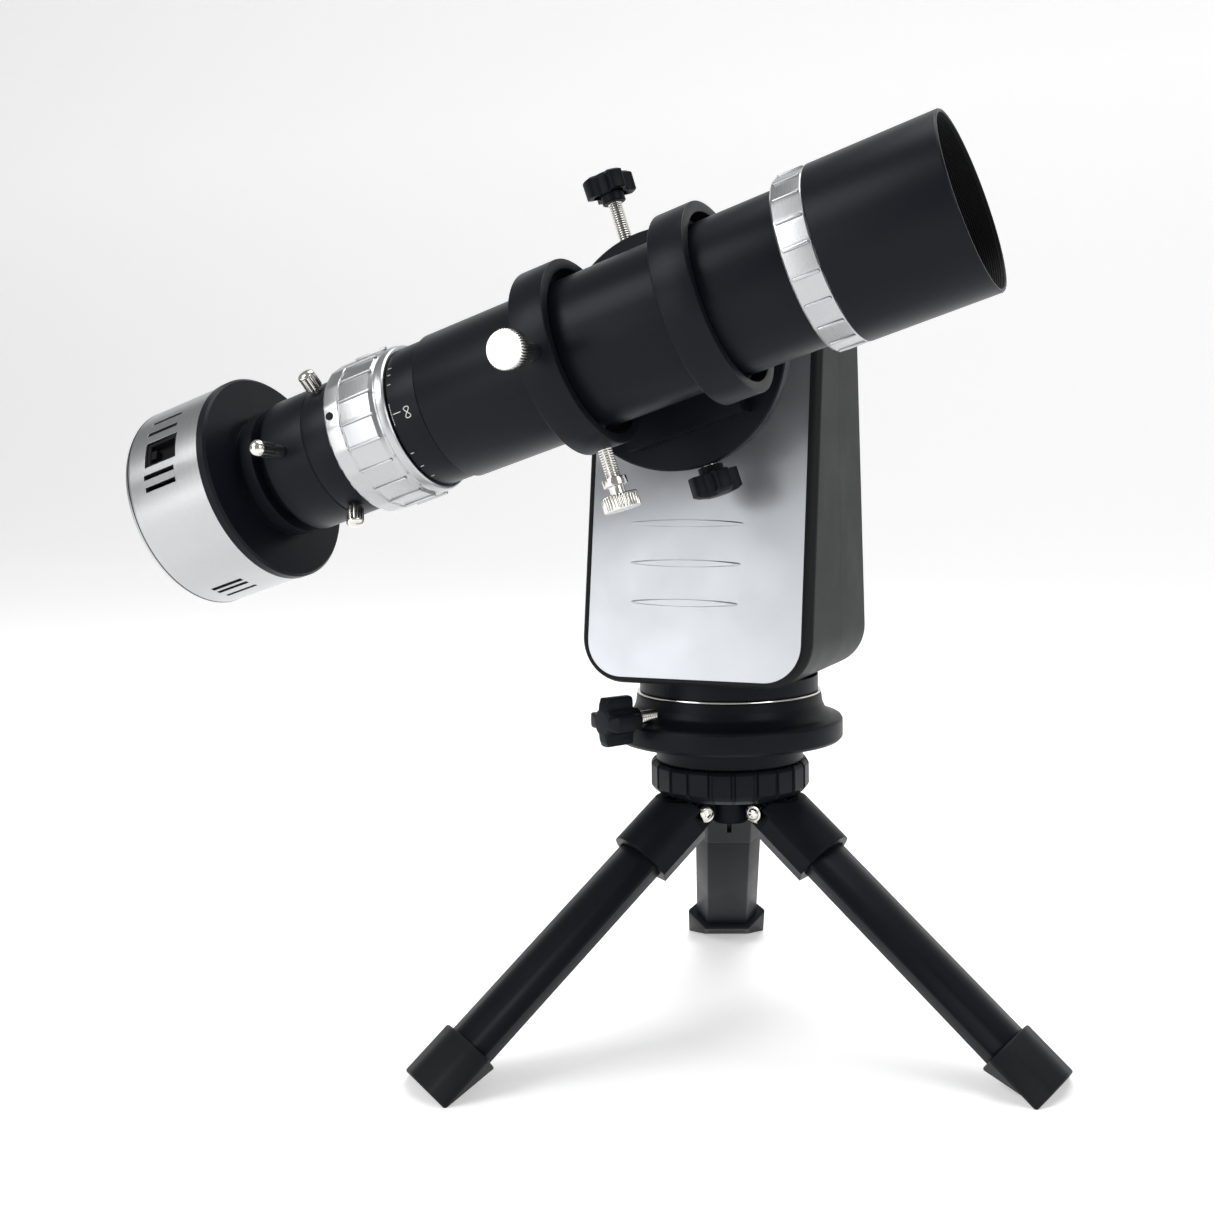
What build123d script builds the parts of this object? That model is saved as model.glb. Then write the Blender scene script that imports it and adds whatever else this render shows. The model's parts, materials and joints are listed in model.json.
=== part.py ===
from build123d import *
from math import atan2, cos, pi, radians, sin, tan
import os

# Star tracker mount: a three-legged base, a turning arm with an altitude head, and a
# 60 mm guide scope with a cooled camera. Millimetres, +Z up, +X towards the objective.
# The origin is the azimuth axis at ground level; the scope hangs in front, at -Y.

# ---- axes ----------------------------------------------------------------------------
ALT_HEIGHT = 309.2          # altitude axis above the ground
TUBE_Y = -121.0             # optical axis, in front of the azimuth axis
TILT = 17.57                # rest elevation of the optical axis, degrees
RUN = 0.05                  # radial running clearance of a shaft in its hole
GAP = 0.1                   # gap between faces that meet

# ---- guide scope, radii and stations along the optical axis (0 = altitude axis) --------
TUBE_R, TUBE_BORE = 30.0, 28.0
TUBE_REAR, TUBE_FRONT = -73.6, 88.1
CELL_R, CELL_REAR, CELL_FRONT = 33.4, 81.3, 93.4
SPIGOT_R, SPIGOT_END = 31.3, 100.0
LENS_SEAT, LENS_EDGE, LENS_CROWN = 89.3, 95.4, 98.2
DEW_R, DEW_BORE, DEW_FRONT = 33.7, 32.3, 143.3
RING_R, RING_BORE = 37.6, 33.2
FRONT_RING = (34.7, 49.3)
REAR_RING = (-24.6, -9.7)
SCALE_R, SCALE_REAR, BARREL_R, BARREL_REAR = 29.0, -87.6, 26.5, -104.0
FOCUS_R, FOCUS_BORE, FOCUS_FRONT, FOCUS_REAR = 31.6, 26.8, -87.8, -116.2
DRAW_R, DRAW_BORE, DRAW_FRONT, DRAW_REAR = 24.9, 23.0, -54.0, -128.0
HOLDER_R, HOLDER_FRONT, HOLDER_REAR = 28.2, -116.6, -152.0
NOSE_R, NOSE_BORE, NOSE_FRONT = 15.875, 13.5, -131.0

HOLDER_SCREWS = ((-125.4, 57, False), (-125.4, -65, False), (-125.4, 176, False), (-141.5, 6, True))
HOLDER_SCREW_NAMES = ("holder_screw_top", "holder_screw_bottom", "holder_screw_rear",
                      "nose_lock_screw")

# ---- camera ------------------------------------------------------------------------------
CAM_NECK_R, CAM_STEP_R, CAM_RING_R = 22.0, 25.5, 27.3
CAM_FACE, CAM_FACE_R, CAM_PLATE = -166.7, 44.06, 4.2
CAN_R, CAN_WALL, CAN_REAR, CAN_EDGE = 43.6, 2.5, -212.4, 5.0
PORT_S, PORT_ANGLE, PORT_LONG, PORT_TALL = -190.7, 27.6, 16.6, 11.7
SLOT_S, SLOT_LONG, SLOT_WIDE = -191.75, 16.0, 2.1
SLOT_ANGLES = (51.6, 42.2, 14.2, 7.35, -63.4, -68.0, -75.3)

# ---- saddle disc, dovetail and clamps ------------------------------------------------------
DISC_R, DISC_FRONT, DISC_BACK, DISC_ROUND = 50.65, -66.25, -50.25, 12.0
BOSS_R, BOSS_BACK = 21.0, -34.5
BAR_FRONT, BAR_WIDE, BAR_NARROW, BAR_ENDS = -82.0, 22.0, 18.0, (-45.0, 52.0)
JAW_FRONT, JAW_OUTER, JAW_HALF = -78.0, 36.0, 26.0
CLAMP_Y = -61.0
SCREW_R = 3.0               # M6 screws of the clamps and of the rear ring
KNOB_R = 10.8

# ---- arm -------------------------------------------------------------------------------------
ARM_HALF, ARM_BOTTOM, ARM_TOP = 53.2, 165.5, 349.0
ARM_CORNER_LOW, ARM_CORNER_TOP, ARM_EDGE = 20.0, 35.0, 3.5
FRONT_AT_185, FRONT_SLOPE = -44.3, 0.144
FRONT_LEAN = cos(atan2(FRONT_SLOPE, 1))
BACK_AT_184, BACK_SLOPE = 42.4, -0.075
WALL, FRONT_WALL = 2.5, 4.0
COVER_LEFT, COVER_RIGHT, COVER_BOTTOM, COVER_TOP = -50.6, 49.0, 167.4, 346.5
RIBS = ((235.5, 26.2), (218.2, 25.2), (201.2, 24.4))
RIB_X, RIB_HALF_TALL = -4.7, 1.5
SHAFT_R = 9.95
HOUSING_R, HOUSING_FRONT = 21.0, -33.0
PLATE_FRONT, PLATE_BACK = 12.0, 16.0
SOCKET_X, SOCKET_Z, BUTTON_X = -16.0, 200.0, 16.0

# ---- base --------------------------------------------------------------------------------------
NECK_R, NECK_LOW = 40.6, 158.5
DRUM_R, DRUM_LOW, DRUM_FLOOR = 36.8, 147.0, 151.0
AXLE_R, AXLE_TOP = 8.45, 184.0
BASE_LOW, BASE_NECK_R = 126.5, 33.5
LOCK_R, LOCK_LOW, LOCK_TOP = 36.1, 111.3, 126.4
LOCK_KNOB_ANGLE, LOCK_KNOB_Z = 240.0, 150.3

# ---- gears -------------------------------------------------------------------------------------
MODULE = 1.0
WHEEL_TEETH, ALT_TEETH, PINION_TEETH = 36, 60, 12
WHEEL_Z, PINION_Z, GEAR_WIDE = 141.2, 141.4, 5.0
ALT_GEAR_Y = 20.0
BACKLASH = 0.24
ALT_REACH = MODULE * (ALT_TEETH + PINION_TEETH) / 2
AZ_REACH = MODULE * (WHEEL_TEETH + PINION_TEETH) / 2

# ---- tripod ------------------------------------------------------------------------------------
LEG_TURN, SPLAY = 21.38, 40.0
LEG_NAMES = ("rear", "left", "right")
HINGE_OUT, HINGE_UP = 19.5, 105.0
HUB_R, HUB_LOW, HUB_TOP = 13.0, 99.3, 111.2
LUG_HALF, CHEEK_IN, CHEEK_OUT, CHEEK_R = 4.0, 4.2, 10.3, 5.8
SOCKET_ENDS, LEG_ENDS, FOOT_ENDS = (-45.5, -18.5), (-36.0, 101.0), (89.4, 115.3)
SHOULDER_END, SHOULDER_LOW, SOCKET_TOP = -50.0, 98.5, 110.8
LEG_WALL = 2.2
BOLT_R = 2.5

# ---- planes ------------------------------------------------------------------------------------
ALONG = Vector(cos(radians(TILT)), 0, sin(radians(TILT)))
ACROSS = Vector(-sin(radians(TILT)), 0, cos(radians(TILT)))
CENTRE = Vector(0, TUBE_Y, ALT_HEIGHT)
TUBE = Plane(CENTRE, x_dir=ACROSS, z_dir=(0, 1, 0))
HEAD = Plane((0, 0, ALT_HEIGHT), x_dir=(0, 0, 1), z_dir=(-1, 0, 0))
FRONT_Y = FRONT_AT_185 + FRONT_SLOPE * (ARM_BOTTOM - 185)
BACK_Y = BACK_AT_184 + BACK_SLOPE * (ARM_BOTTOM - 184)
FRONT = Plane((0, FRONT_Y, ARM_BOTTOM), x_dir=(1, 0, 0), z_dir=(0, -1, FRONT_SLOPE))
BACK = Plane((0, BACK_Y, ARM_BOTTOM), x_dir=(-1, 0, 0), z_dir=(0, 1, -BACK_SLOPE))


def radial(s, angle):
    """Plane across a radius of the scope; the angle runs from the front (-Y) upwards."""
    out = Vector(0, -1, 0) * cos(radians(angle)) + ACROSS * sin(radians(angle))
    return Plane(CENTRE + ALONG * s, x_dir=ALONG, z_dir=out)


def clamp_axis(s, sign):
    """Plane across a clamp screw; its normal leaves the saddle disc upwards or downwards."""
    return Plane(Vector(0, CLAMP_Y, ALT_HEIGHT) + ALONG * s, x_dir=ALONG, z_dir=ACROSS * sign)


def leg_plane(number, along):
    """Plane across a leg: x across it, y outwards, at a distance along it."""
    turn_angle = radians(LEG_TURN + 90 + 120 * number)
    out = Vector(cos(turn_angle), sin(turn_angle), 0)
    down = out * cos(radians(SPLAY)) - Vector(0, 0, 1) * sin(radians(SPLAY))
    return Plane(down * along, x_dir=(-sin(turn_angle), cos(turn_angle), 0), z_dir=down)


def hinge_plane(number, across):
    """Plane across a leg's hinge bolt, its x outwards and its y upwards."""
    turn_angle = radians(LEG_TURN + 90 + 120 * number)
    out = Vector(cos(turn_angle), sin(turn_angle), 0)
    side = Vector(-sin(turn_angle), cos(turn_angle), 0)
    centre = out * HINGE_OUT + Vector(0, 0, HINGE_UP) - side * across
    return Plane(centre, x_dir=out, z_dir=-side)


# ---- helpers -----------------------------------------------------------------------------------
def keep(builder, name):
    """Label a finished piece and write it."""
    builder.part.label = name
    export_step(builder.part, f"parts/{name}.step")


def turn(section, outline, mode=Mode.ADD):
    """Turn an outline of (radius, height) points about the section's height axis."""
    with BuildSketch(section) as profile:
        with BuildLine():
            Polyline(*outline, close=True)
        make_face()
    revolve(profile.sketch, axis=Axis(section.origin, section.y_dir), mode=mode)


def rod(plane, radius, start, end, mode=Mode.ADD):
    """Round bar or hole along a plane's normal, between two heights."""
    with BuildSketch(plane.offset(start)) as end_face:
        Circle(radius)
    extrude(end_face.sketch, amount=end - start, mode=mode)


def slab(plane, centre, width, depth, start, end, mode=Mode.ADD):
    """Rectangular block or pocket along a plane's normal, between two heights."""
    with BuildSketch(plane.offset(start)) as end_face:
        with Locations(centre):
            Rectangle(width, depth)
    extrude(end_face.sketch, amount=end - start, mode=mode)


def knob_head(plane, start, end):
    """Four-lobed hand knob with softened rims."""
    with BuildSketch(plane.offset(start)) as lobes:
        Circle(KNOB_R - 3.2)
        with PolarLocations(KNOB_R - 4.6, 4):
            Circle(4.6)
    extrude(lobes.sketch, amount=end - start)


def toothed(plane, teeth, phase, bore, wide):
    """Spur gear on a plane; a tooth points along the phase angle."""
    pitch_r = MODULE * teeth / 2
    half = pi / (2 * teeth) - BACKLASH / (2 * pitch_r)
    slope = tan(radians(20)) / pitch_r
    root_r, tip_r = pitch_r - 1.25 * MODULE, pitch_r + 0.95 * MODULE
    steps = ((root_r, half + 1.1 * MODULE * slope), (pitch_r, half), (tip_r, half - MODULE * slope))
    sides = [(r, -a) for r, a in steps] + [(r, a) for r, a in reversed(steps)]
    points = []
    for tooth in range(teeth):
        middle = radians(phase) + 2 * pi * tooth / teeth
        points += [(r * cos(middle + a), r * sin(middle + a)) for r, a in sides]
    with BuildSketch(plane) as face:
        with BuildLine():
            Polyline(*points, close=True)
        make_face()
        if bore:
            Circle(bore, mode=Mode.SUBTRACT)
    extrude(face.sketch, amount=wide)


# ---- scope: tube, cell, dew shield and lens ----------------------------------------------------
def scope_tube():
    with BuildPart() as main_tube:
        turn(TUBE, [(TUBE_BORE, TUBE_REAR), (TUBE_R, TUBE_REAR), (TUBE_R, TUBE_FRONT),
                    (TUBE_BORE, TUBE_FRONT)])
    keep(main_tube, "main_tube")

    with BuildPart() as lens_cell:
        turn(TUBE, [(TUBE_R + GAP, CELL_REAR), (CELL_R, CELL_REAR), (CELL_R, CELL_FRONT),
                    (SPIGOT_R, CELL_FRONT), (SPIGOT_R, SPIGOT_END), (TUBE_R + GAP, SPIGOT_END),
                    (TUBE_R + GAP, LENS_SEAT), (TUBE_BORE + 0.6, LENS_SEAT),
                    (TUBE_BORE + 0.6, TUBE_FRONT + GAP), (TUBE_R + GAP, TUBE_FRONT + GAP)])
    keep(lens_cell, "lens_cell")

    with BuildPart() as dew_shield:
        turn(TUBE, [(SPIGOT_R + RUN, CELL_FRONT + GAP), (DEW_R, CELL_FRONT + GAP),
                    (DEW_R, DEW_FRONT - 0.4), (DEW_R - 0.4, DEW_FRONT), (DEW_BORE, DEW_FRONT),
                    (DEW_BORE, SPIGOT_END + GAP), (SPIGOT_R + RUN, SPIGOT_END + GAP)])
    keep(dew_shield, "dew_shield")

    sag = LENS_CROWN - LENS_EDGE
    with BuildPart() as objective_lens:
        with BuildSketch(TUBE) as half_lens:
            with BuildLine():
                Line((0, LENS_CROWN), (0, LENS_SEAT + GAP))
                Line((0, LENS_SEAT + GAP), (TUBE_R, LENS_SEAT + GAP))
                Line((TUBE_R, LENS_SEAT + GAP), (TUBE_R, LENS_EDGE))
                RadiusArc((TUBE_R, LENS_EDGE), (0, LENS_CROWN), -(TUBE_R**2 + sag**2) / (2 * sag))
            make_face()
        revolve(half_lens.sketch, axis=Axis(TUBE.origin, TUBE.y_dir))
    keep(objective_lens, "objective_lens")


def mounting_ring(station, screw_holes):
    """Clamp ring of the scope with its foot on the dovetail bar."""
    low, high = station
    with BuildPart() as ring:
        slab(TUBE.offset(RING_BORE + 1), (0, (low + high) / 2), 24, high - low, 0,
             BAR_FRONT - GAP - TUBE_Y - RING_BORE - 1)
        turn(TUBE, [(RING_BORE, low), (RING_R, low), (RING_R, high), (RING_BORE, high)])
        turn(TUBE, [(0, low - 1), (RING_BORE, low - 1), (RING_BORE, high + 1), (0, high + 1)],
             mode=Mode.SUBTRACT)
        for angle, radius in screw_holes:
            rod(radial((low + high) / 2, angle), radius, RING_BORE - 2, RING_R + 8, Mode.SUBTRACT)
    return ring


def scope_rings():
    keep(mounting_ring(FRONT_RING, ()), "ring_front")
    keep(mounting_ring(REAR_RING, ((0, SCREW_R), (-90, SCREW_R), (135, SCREW_R))), "ring_rear")
    with BuildPart() as ring_o_ring:
        with BuildSketch(TUBE) as cord:
            with Locations(((TUBE_R + RING_BORE) / 2, sum(FRONT_RING) / 2)):
                Circle((RING_BORE - TUBE_R) / 2 - RUN)
        revolve(cord.sketch, axis=Axis(TUBE.origin, TUBE.y_dir))
    keep(ring_o_ring, "ring_o_ring")
    plunger = radial(sum(REAR_RING) / 2, 135)
    with BuildPart() as ring_plunger:
        rod(plunger, SCREW_R - RUN, TUBE_R + 1.5, RING_R + 3)
        rod(plunger, 1.5, TUBE_R + 0.1, TUBE_R + 1.5)
    keep(ring_plunger, "ring_plunger")


def ring_thumbscrew(name, angle, collar, head):
    """Knurled screw that sets the scope in its rear ring."""
    axis = radial(sum(REAR_RING) / 2, angle)
    with BuildPart() as screw:
        rod(axis, SCREW_R - RUN, TUBE_R + 0.3, head[1])
        rod(axis, 3.4, *collar)
        rod(axis, 7.5, *head)
        chamfer(screw.faces().filter_by(lambda f: f.area > 20).sort_by(
            Axis(axis.origin, axis.z_dir))[-1].edges(), 0.6)
    keep(screw, name)


# ---- scope: focuser and camera holder ------------------------------------------------------------
def focuser():
    with BuildPart() as scale_ring:
        turn(TUBE, [(DRAW_R + GAP, BARREL_REAR), (BARREL_R, BARREL_REAR), (BARREL_R, SCALE_REAR),
                    (SCALE_R, SCALE_REAR), (SCALE_R, TUBE_REAR - GAP),
                    (TUBE_BORE - GAP, TUBE_REAR - GAP), (TUBE_BORE - GAP, TUBE_REAR + 9),
                    (DRAW_R + GAP, TUBE_REAR + 9)])
    keep(scale_ring, "scale_ring")

    with BuildPart() as focus_ring:
        turn(TUBE, [(DRAW_R + 0.3, FOCUS_REAR), (FOCUS_R - 0.4, FOCUS_REAR),
                    (FOCUS_R + 0.2, FOCUS_REAR + 0.6), (FOCUS_R + 0.2, -108.9), (FOCUS_R, -108.9),
                    (FOCUS_R, -92.5), (FOCUS_R, -90.5), (30.0, FOCUS_FRONT), (FOCUS_BORE, FOCUS_FRONT),
                    (FOCUS_BORE, BARREL_REAR - 0.4), (DRAW_R + 0.3, BARREL_REAR - 0.4)])
    keep(focus_ring, "focus_ring")

    with BuildPart() as drawtube:
        turn(TUBE, [(DRAW_BORE, DRAW_REAR), (DRAW_R, DRAW_REAR), (DRAW_R, DRAW_FRONT),
                    (DRAW_BORE, DRAW_FRONT)])
    keep(drawtube, "drawtube")

    with BuildPart() as camera_holder:
        turn(TUBE, [(NOSE_R + 0.075, HOLDER_REAR), (HOLDER_R - 2.5, HOLDER_REAR),
                    (HOLDER_R - 0.8, HOLDER_REAR + 0.8), (HOLDER_R, HOLDER_REAR + 2.5),
                    (HOLDER_R, HOLDER_FRONT), (DRAW_R + GAP, HOLDER_FRONT),
                    (DRAW_R + GAP, DRAW_REAR - GAP), (NOSE_R + 0.075, DRAW_REAR - GAP)])
        for s, angle, long_screw in HOLDER_SCREWS:
            hole_radius = 2.0 if long_screw else 1.5
            rod(radial(s, angle), hole_radius, 12, HOLDER_R + 2, Mode.SUBTRACT)
    keep(camera_holder, "camera_holder")


def holder_screws():
    """Knurled screws of the camera holder: three round its front, one longer on the nose."""
    for (s, angle, long_screw), name in zip(HOLDER_SCREWS, HOLDER_SCREW_NAMES):
        axis = radial(s, angle)
        with BuildPart() as screw:
            if long_screw:
                rod(axis, 2.0 - RUN, NOSE_R + 0.4, 40)
                rod(axis, 3.0, HOLDER_R + 0.4, 35)
                rod(axis, 3.5, 37, 46)
            else:
                rod(axis, 1.5 - RUN, DRAW_R + 0.3, 31)
                rod(axis, 3.6, HOLDER_R + 0.6, 37.6)
        keep(screw, name)


# ---- camera ---------------------------------------------------------------------------------------
def camera():
    plate_back = CAM_FACE - CAM_PLATE
    with BuildPart() as camera_front:
        turn(TUBE, [(NOSE_BORE, NOSE_FRONT), (NOSE_R, NOSE_FRONT), (NOSE_R, HOLDER_REAR - 0.3),
                    (CAM_NECK_R, HOLDER_REAR - 0.3), (CAM_NECK_R, -157.0), (CAM_RING_R, -157.0),
                    (CAM_RING_R, -162.5), (CAM_STEP_R, -162.5), (CAM_STEP_R, CAM_FACE),
                    (CAM_FACE_R - 1, CAM_FACE), (CAM_FACE_R, CAM_FACE - 1),
                    (CAM_FACE_R, plate_back), (CAN_R - CAN_WALL - GAP, plate_back),
                    (CAN_R - CAN_WALL - GAP, plate_back - 3), (36, plate_back - 3),
                    (36, plate_back), (15.2, plate_back), (15.2, -164.0), (NOSE_BORE, -164.0)])
    keep(camera_front, "camera_front")

    with BuildPart() as sensor_window:
        turn(TUBE, [(0, -166.2), (15.1, -166.2), (15.1, -164.1), (0, -164.1)])
    keep(sensor_window, "sensor_window")

    inner = CAN_R - CAN_WALL
    with BuildPart() as camera_can:
        with BuildSketch(TUBE) as wall:
            with BuildLine():
                Polyline((CAN_R - CAN_EDGE, CAN_REAR), (0, CAN_REAR), (0, CAN_REAR + 3),
                         (inner, CAN_REAR + 3), (inner, plate_back), (CAN_R, plate_back),
                         (CAN_R, CAN_REAR + CAN_EDGE))
                RadiusArc((CAN_R, CAN_REAR + CAN_EDGE), (CAN_R - CAN_EDGE, CAN_REAR), CAN_EDGE)
            make_face()
        revolve(wall.sketch, axis=Axis(TUBE.origin, TUBE.y_dir))
        slab(radial(PORT_S, PORT_ANGLE), (0, 0), PORT_LONG, PORT_TALL, 30, 50, Mode.SUBTRACT)
        for angle in SLOT_ANGLES:
            slab(radial(SLOT_S, angle), (0, 0), SLOT_LONG, SLOT_WIDE, 30, 50, Mode.SUBTRACT)
    keep(camera_can, "camera_can")

    board = -182.3
    with BuildPart() as camera_board:
        turn(TUBE, [(0, board), (inner - 1, board), (inner - 1, board + 1.6), (12, board + 1.6),
                    (12, board + 8), (0, board + 8)])
        socket = radial(PORT_S, PORT_ANGLE)
        slab(socket, (0.6, 0), PORT_LONG + 0.6, PORT_TALL - 0.4, 26, inner - 0.6)
        slab(socket, (0, 0), PORT_LONG - 4, PORT_TALL - 3.4, 29, inner + 2, Mode.SUBTRACT)
    keep(camera_board, "camera_board")


# ---- altitude head -----------------------------------------------------------------------------------
def saddle():
    shaft_end = DISC_FRONT + 3
    with BuildPart() as saddle_disc:
        with BuildSketch(HEAD) as half_disc:
            with BuildLine():
                Polyline((DISC_R, DISC_BACK - DISC_ROUND), (DISC_R, DISC_FRONT + 0.6),
                         (DISC_R - 0.6, DISC_FRONT), (0, DISC_FRONT), (0, shaft_end),
                         (SHAFT_R + RUN, shaft_end), (SHAFT_R + RUN, BOSS_BACK), (BOSS_R, BOSS_BACK),
                         (BOSS_R, DISC_BACK), (DISC_R - DISC_ROUND, DISC_BACK))
                RadiusArc((DISC_R - DISC_ROUND, DISC_BACK), (DISC_R, DISC_BACK - DISC_ROUND),
                          DISC_ROUND)
            make_face()
        revolve(half_disc.sketch, axis=Axis(HEAD.origin, HEAD.y_dir))
        jaw_shape(-1)
        slab(clamp_axis(-6, 1), (0, (CLAMP_Y + DISC_FRONT) / 2 - CLAMP_Y + 1), 16.6, 13, 20, 43,
             Mode.SUBTRACT)
        rod(clamp_axis(-6, 1), SCREW_R, 15, DISC_R + 2, Mode.SUBTRACT)
        rod(clamp_axis(0, -1), SCREW_R, SHAFT_R - 2, DISC_R + 2, Mode.SUBTRACT)
    keep(saddle_disc, "saddle_disc")

    with BuildPart() as upper_jaw:
        jaw_shape(1)
        slab(clamp_axis(-6, 1), (0, (CLAMP_Y + DISC_FRONT) / 2 - CLAMP_Y + 0.6), 16, 11.6, 23, 36)
        rod(clamp_axis(-6, 1), SCREW_R, 15, DISC_R, Mode.SUBTRACT)
    keep(upper_jaw, "upper_jaw")

    profile = Plane(CENTRE + ALONG * BAR_ENDS[0], x_dir=ACROSS, z_dir=ALONG)
    front, back = TUBE_Y - BAR_FRONT, TUBE_Y - DISC_FRONT + RUN
    with BuildPart() as dovetail_bar:
        with BuildSketch(profile) as section:
            with BuildLine():
                Polyline((-BAR_NARROW, front), (BAR_NARROW, front), (BAR_WIDE, back),
                         (-BAR_WIDE, back), close=True)
            make_face()
        extrude(section.sketch, amount=BAR_ENDS[1] - BAR_ENDS[0])
    keep(dovetail_bar, "dovetail_bar")


def jaw_shape(sign):
    """Jaw of the saddle, with a slope that holds one side of the dovetail bar."""
    profile = Plane(CENTRE - ALONG * JAW_HALF, x_dir=ACROSS, z_dir=ALONG)
    front, back = TUBE_Y - JAW_FRONT, TUBE_Y - DISC_FRONT + RUN * (1 + sign) / 2
    flare = (BAR_WIDE - BAR_NARROW) / (DISC_FRONT - BAR_FRONT)
    inner_front = BAR_WIDE - flare * (DISC_FRONT - JAW_FRONT) + 0.2
    with BuildSketch(profile) as section:
        with BuildLine():
            Polyline((sign * inner_front, front), (sign * JAW_OUTER, front),
                     (sign * JAW_OUTER, back), (sign * (BAR_WIDE + 0.2), back), close=True)
        make_face()
    extrude(section.sketch, amount=2 * JAW_HALF)


def clamp_knobs():
    upper, lower = clamp_axis(-6, 1), clamp_axis(0, -1)
    with BuildPart() as upper_clamp_knob:
        rod(upper, SCREW_R - RUN, 21, 72)
        rod(upper, 5.0, 67.5, 71)
        knob_head(upper, 71, 80.5)
    keep(upper_clamp_knob, "upper_clamp_knob")
    with BuildPart() as lower_clamp_knob:
        rod(lower, SCREW_R - RUN, SHAFT_R + 0.4, 55)
        rod(lower, 5.3, DISC_R + 0.3, 54)
        knob_head(lower, 54, 64)
    keep(lower_clamp_knob, "lower_clamp_knob")


def altitude_drive():
    with BuildPart() as altitude_shaft:
        turn(HEAD, [(0, DISC_FRONT + 3.1), (SHAFT_R, DISC_FRONT + 3.1), (SHAFT_R, 28), (0, 28)])
    keep(altitude_shaft, "altitude_shaft")
    gear_plane = Plane((0, ALT_GEAR_Y, ALT_HEIGHT), x_dir=(1, 0, 0), z_dir=(0, 1, 0))
    with BuildPart() as altitude_gear:
        toothed(gear_plane, ALT_TEETH, 90, SHAFT_R + 0.02, GEAR_WIDE)
    keep(altitude_gear, "altitude_gear")
    with BuildPart() as altitude_pinion:
        pinion = Plane((0, ALT_GEAR_Y, ALT_HEIGHT - ALT_REACH), x_dir=(1, 0, 0), z_dir=(0, 1, 0))
        toothed(pinion, PINION_TEETH, 90 + 180 / PINION_TEETH, 0, GEAR_WIDE)
        rod(pinion, 1.5, PLATE_FRONT + GAP - ALT_GEAR_Y, 0.5)
    keep(altitude_pinion, "altitude_pinion")
    with BuildPart() as altitude_motor:
        rod(pinion, 10, -42, PLATE_FRONT - ALT_GEAR_Y)
    keep(altitude_motor, "altitude_motor")
    with BuildPart() as altitude_bearings:
        for start in (-32, 5):
            turn(HEAD, [(SHAFT_R + RUN, start), (16, start), (16, start + 7),
                        (SHAFT_R + RUN, start + 7)])
    keep(altitude_bearings, "altitude_bearings")


# ---- arm ---------------------------------------------------------------------------------------------
def arm_block(side, front, back, low, high, edge):
    """Envelope of the arm between its sloping front and back, drawn in by the given amounts."""
    with BuildPart() as block:
        with BuildSketch(Plane.XZ) as outline:
            with Locations((0, (ARM_BOTTOM + low + ARM_TOP - high) / 2)):
                Rectangle(2 * (ARM_HALF - side), ARM_TOP - high - ARM_BOTTOM - low)
            fillet(outline.vertices().group_by(Axis.Y)[0], ARM_CORNER_LOW - side)
            fillet(outline.vertices().group_by(Axis.Y)[-1], ARM_CORNER_TOP - side)
        extrude(amount=70, both=True)
        split(bisect_by=FRONT.offset(-front), keep=Keep.BOTTOM)
        split(bisect_by=BACK.offset(-back), keep=Keep.BOTTOM)
        if edge:
            fillet(block.faces().sort_by(Axis.Y)[0].edges(), edge)
            fillet(block.faces().sort_by(Axis.Y)[-1].edges(), edge)
    return block.part


def cover_outline(plane, grow):
    """Outline of the front cover on the sloping face."""
    low = (COVER_BOTTOM - ARM_BOTTOM) / FRONT_LEAN - grow
    high = (COVER_TOP - ARM_BOTTOM) / FRONT_LEAN + grow
    width = COVER_RIGHT - COVER_LEFT + 2 * grow
    with BuildSketch(plane) as outline:
        with Locations(((COVER_LEFT + COVER_RIGHT) / 2, (low + high) / 2)):
            Rectangle(width, high - low)
        fillet(outline.vertices().group_by(Axis.Y)[0], ARM_CORNER_LOW - 3)
        fillet(outline.vertices().group_by(Axis.Y)[-1], ARM_CORNER_TOP - 3)
    return outline.sketch


def arm_shells():
    outer = arm_block(0, 0, 0, 0, 0, ARM_EDGE)
    cavity = arm_block(WALL, FRONT_WALL, WALL, WALL, WALL, 0)
    recess = cover_outline(FRONT.offset(-1.6), 0.2)
    with BuildPart() as arm_front_shell:
        add(outer)
        add(cavity, mode=Mode.SUBTRACT)
        split(bisect_by=Plane.XZ, keep=Keep.TOP)
        extrude(recess, amount=6, mode=Mode.SUBTRACT)
        rod(Plane.XZ.shift_origin((0, 0, ALT_HEIGHT)), HOUSING_R + 0.4, 10, 60, Mode.SUBTRACT)
        rod(Plane.XY, NECK_R - 1, ARM_BOTTOM - 1, ARM_BOTTOM + 4, Mode.SUBTRACT)
    keep(arm_front_shell, "arm_front_shell")

    with BuildPart() as arm_rear_shell:
        add(outer)
        add(cavity, mode=Mode.SUBTRACT)
        split(bisect_by=Plane.XZ.offset(-GAP), keep=Keep.BOTTOM)
        rod(Plane.XY, NECK_R - 1, ARM_BOTTOM - 1, ARM_BOTTOM + 4, Mode.SUBTRACT)
        rod(Plane.XZ.shift_origin((BUTTON_X, 0, SOCKET_Z)), 4.2, -60, -30, Mode.SUBTRACT)
        slab(Plane.XZ, (SOCKET_X, SOCKET_Z), 9.6, 11.6, -60, -30, Mode.SUBTRACT)
    keep(arm_rear_shell, "arm_rear_shell")

    sheet = cover_outline(FRONT.offset(-1.5), 0)
    with BuildPart() as front_cover:
        extrude(sheet, amount=1.8)
        rod(Plane.XZ.shift_origin((0, 0, ALT_HEIGHT)), HOUSING_R + 0.4, 10, 60, Mode.SUBTRACT)
        for height, half_long in RIBS:
            extrude(rib_face(height, half_long), amount=0.8)
    keep(front_cover, "front_cover")


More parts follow.
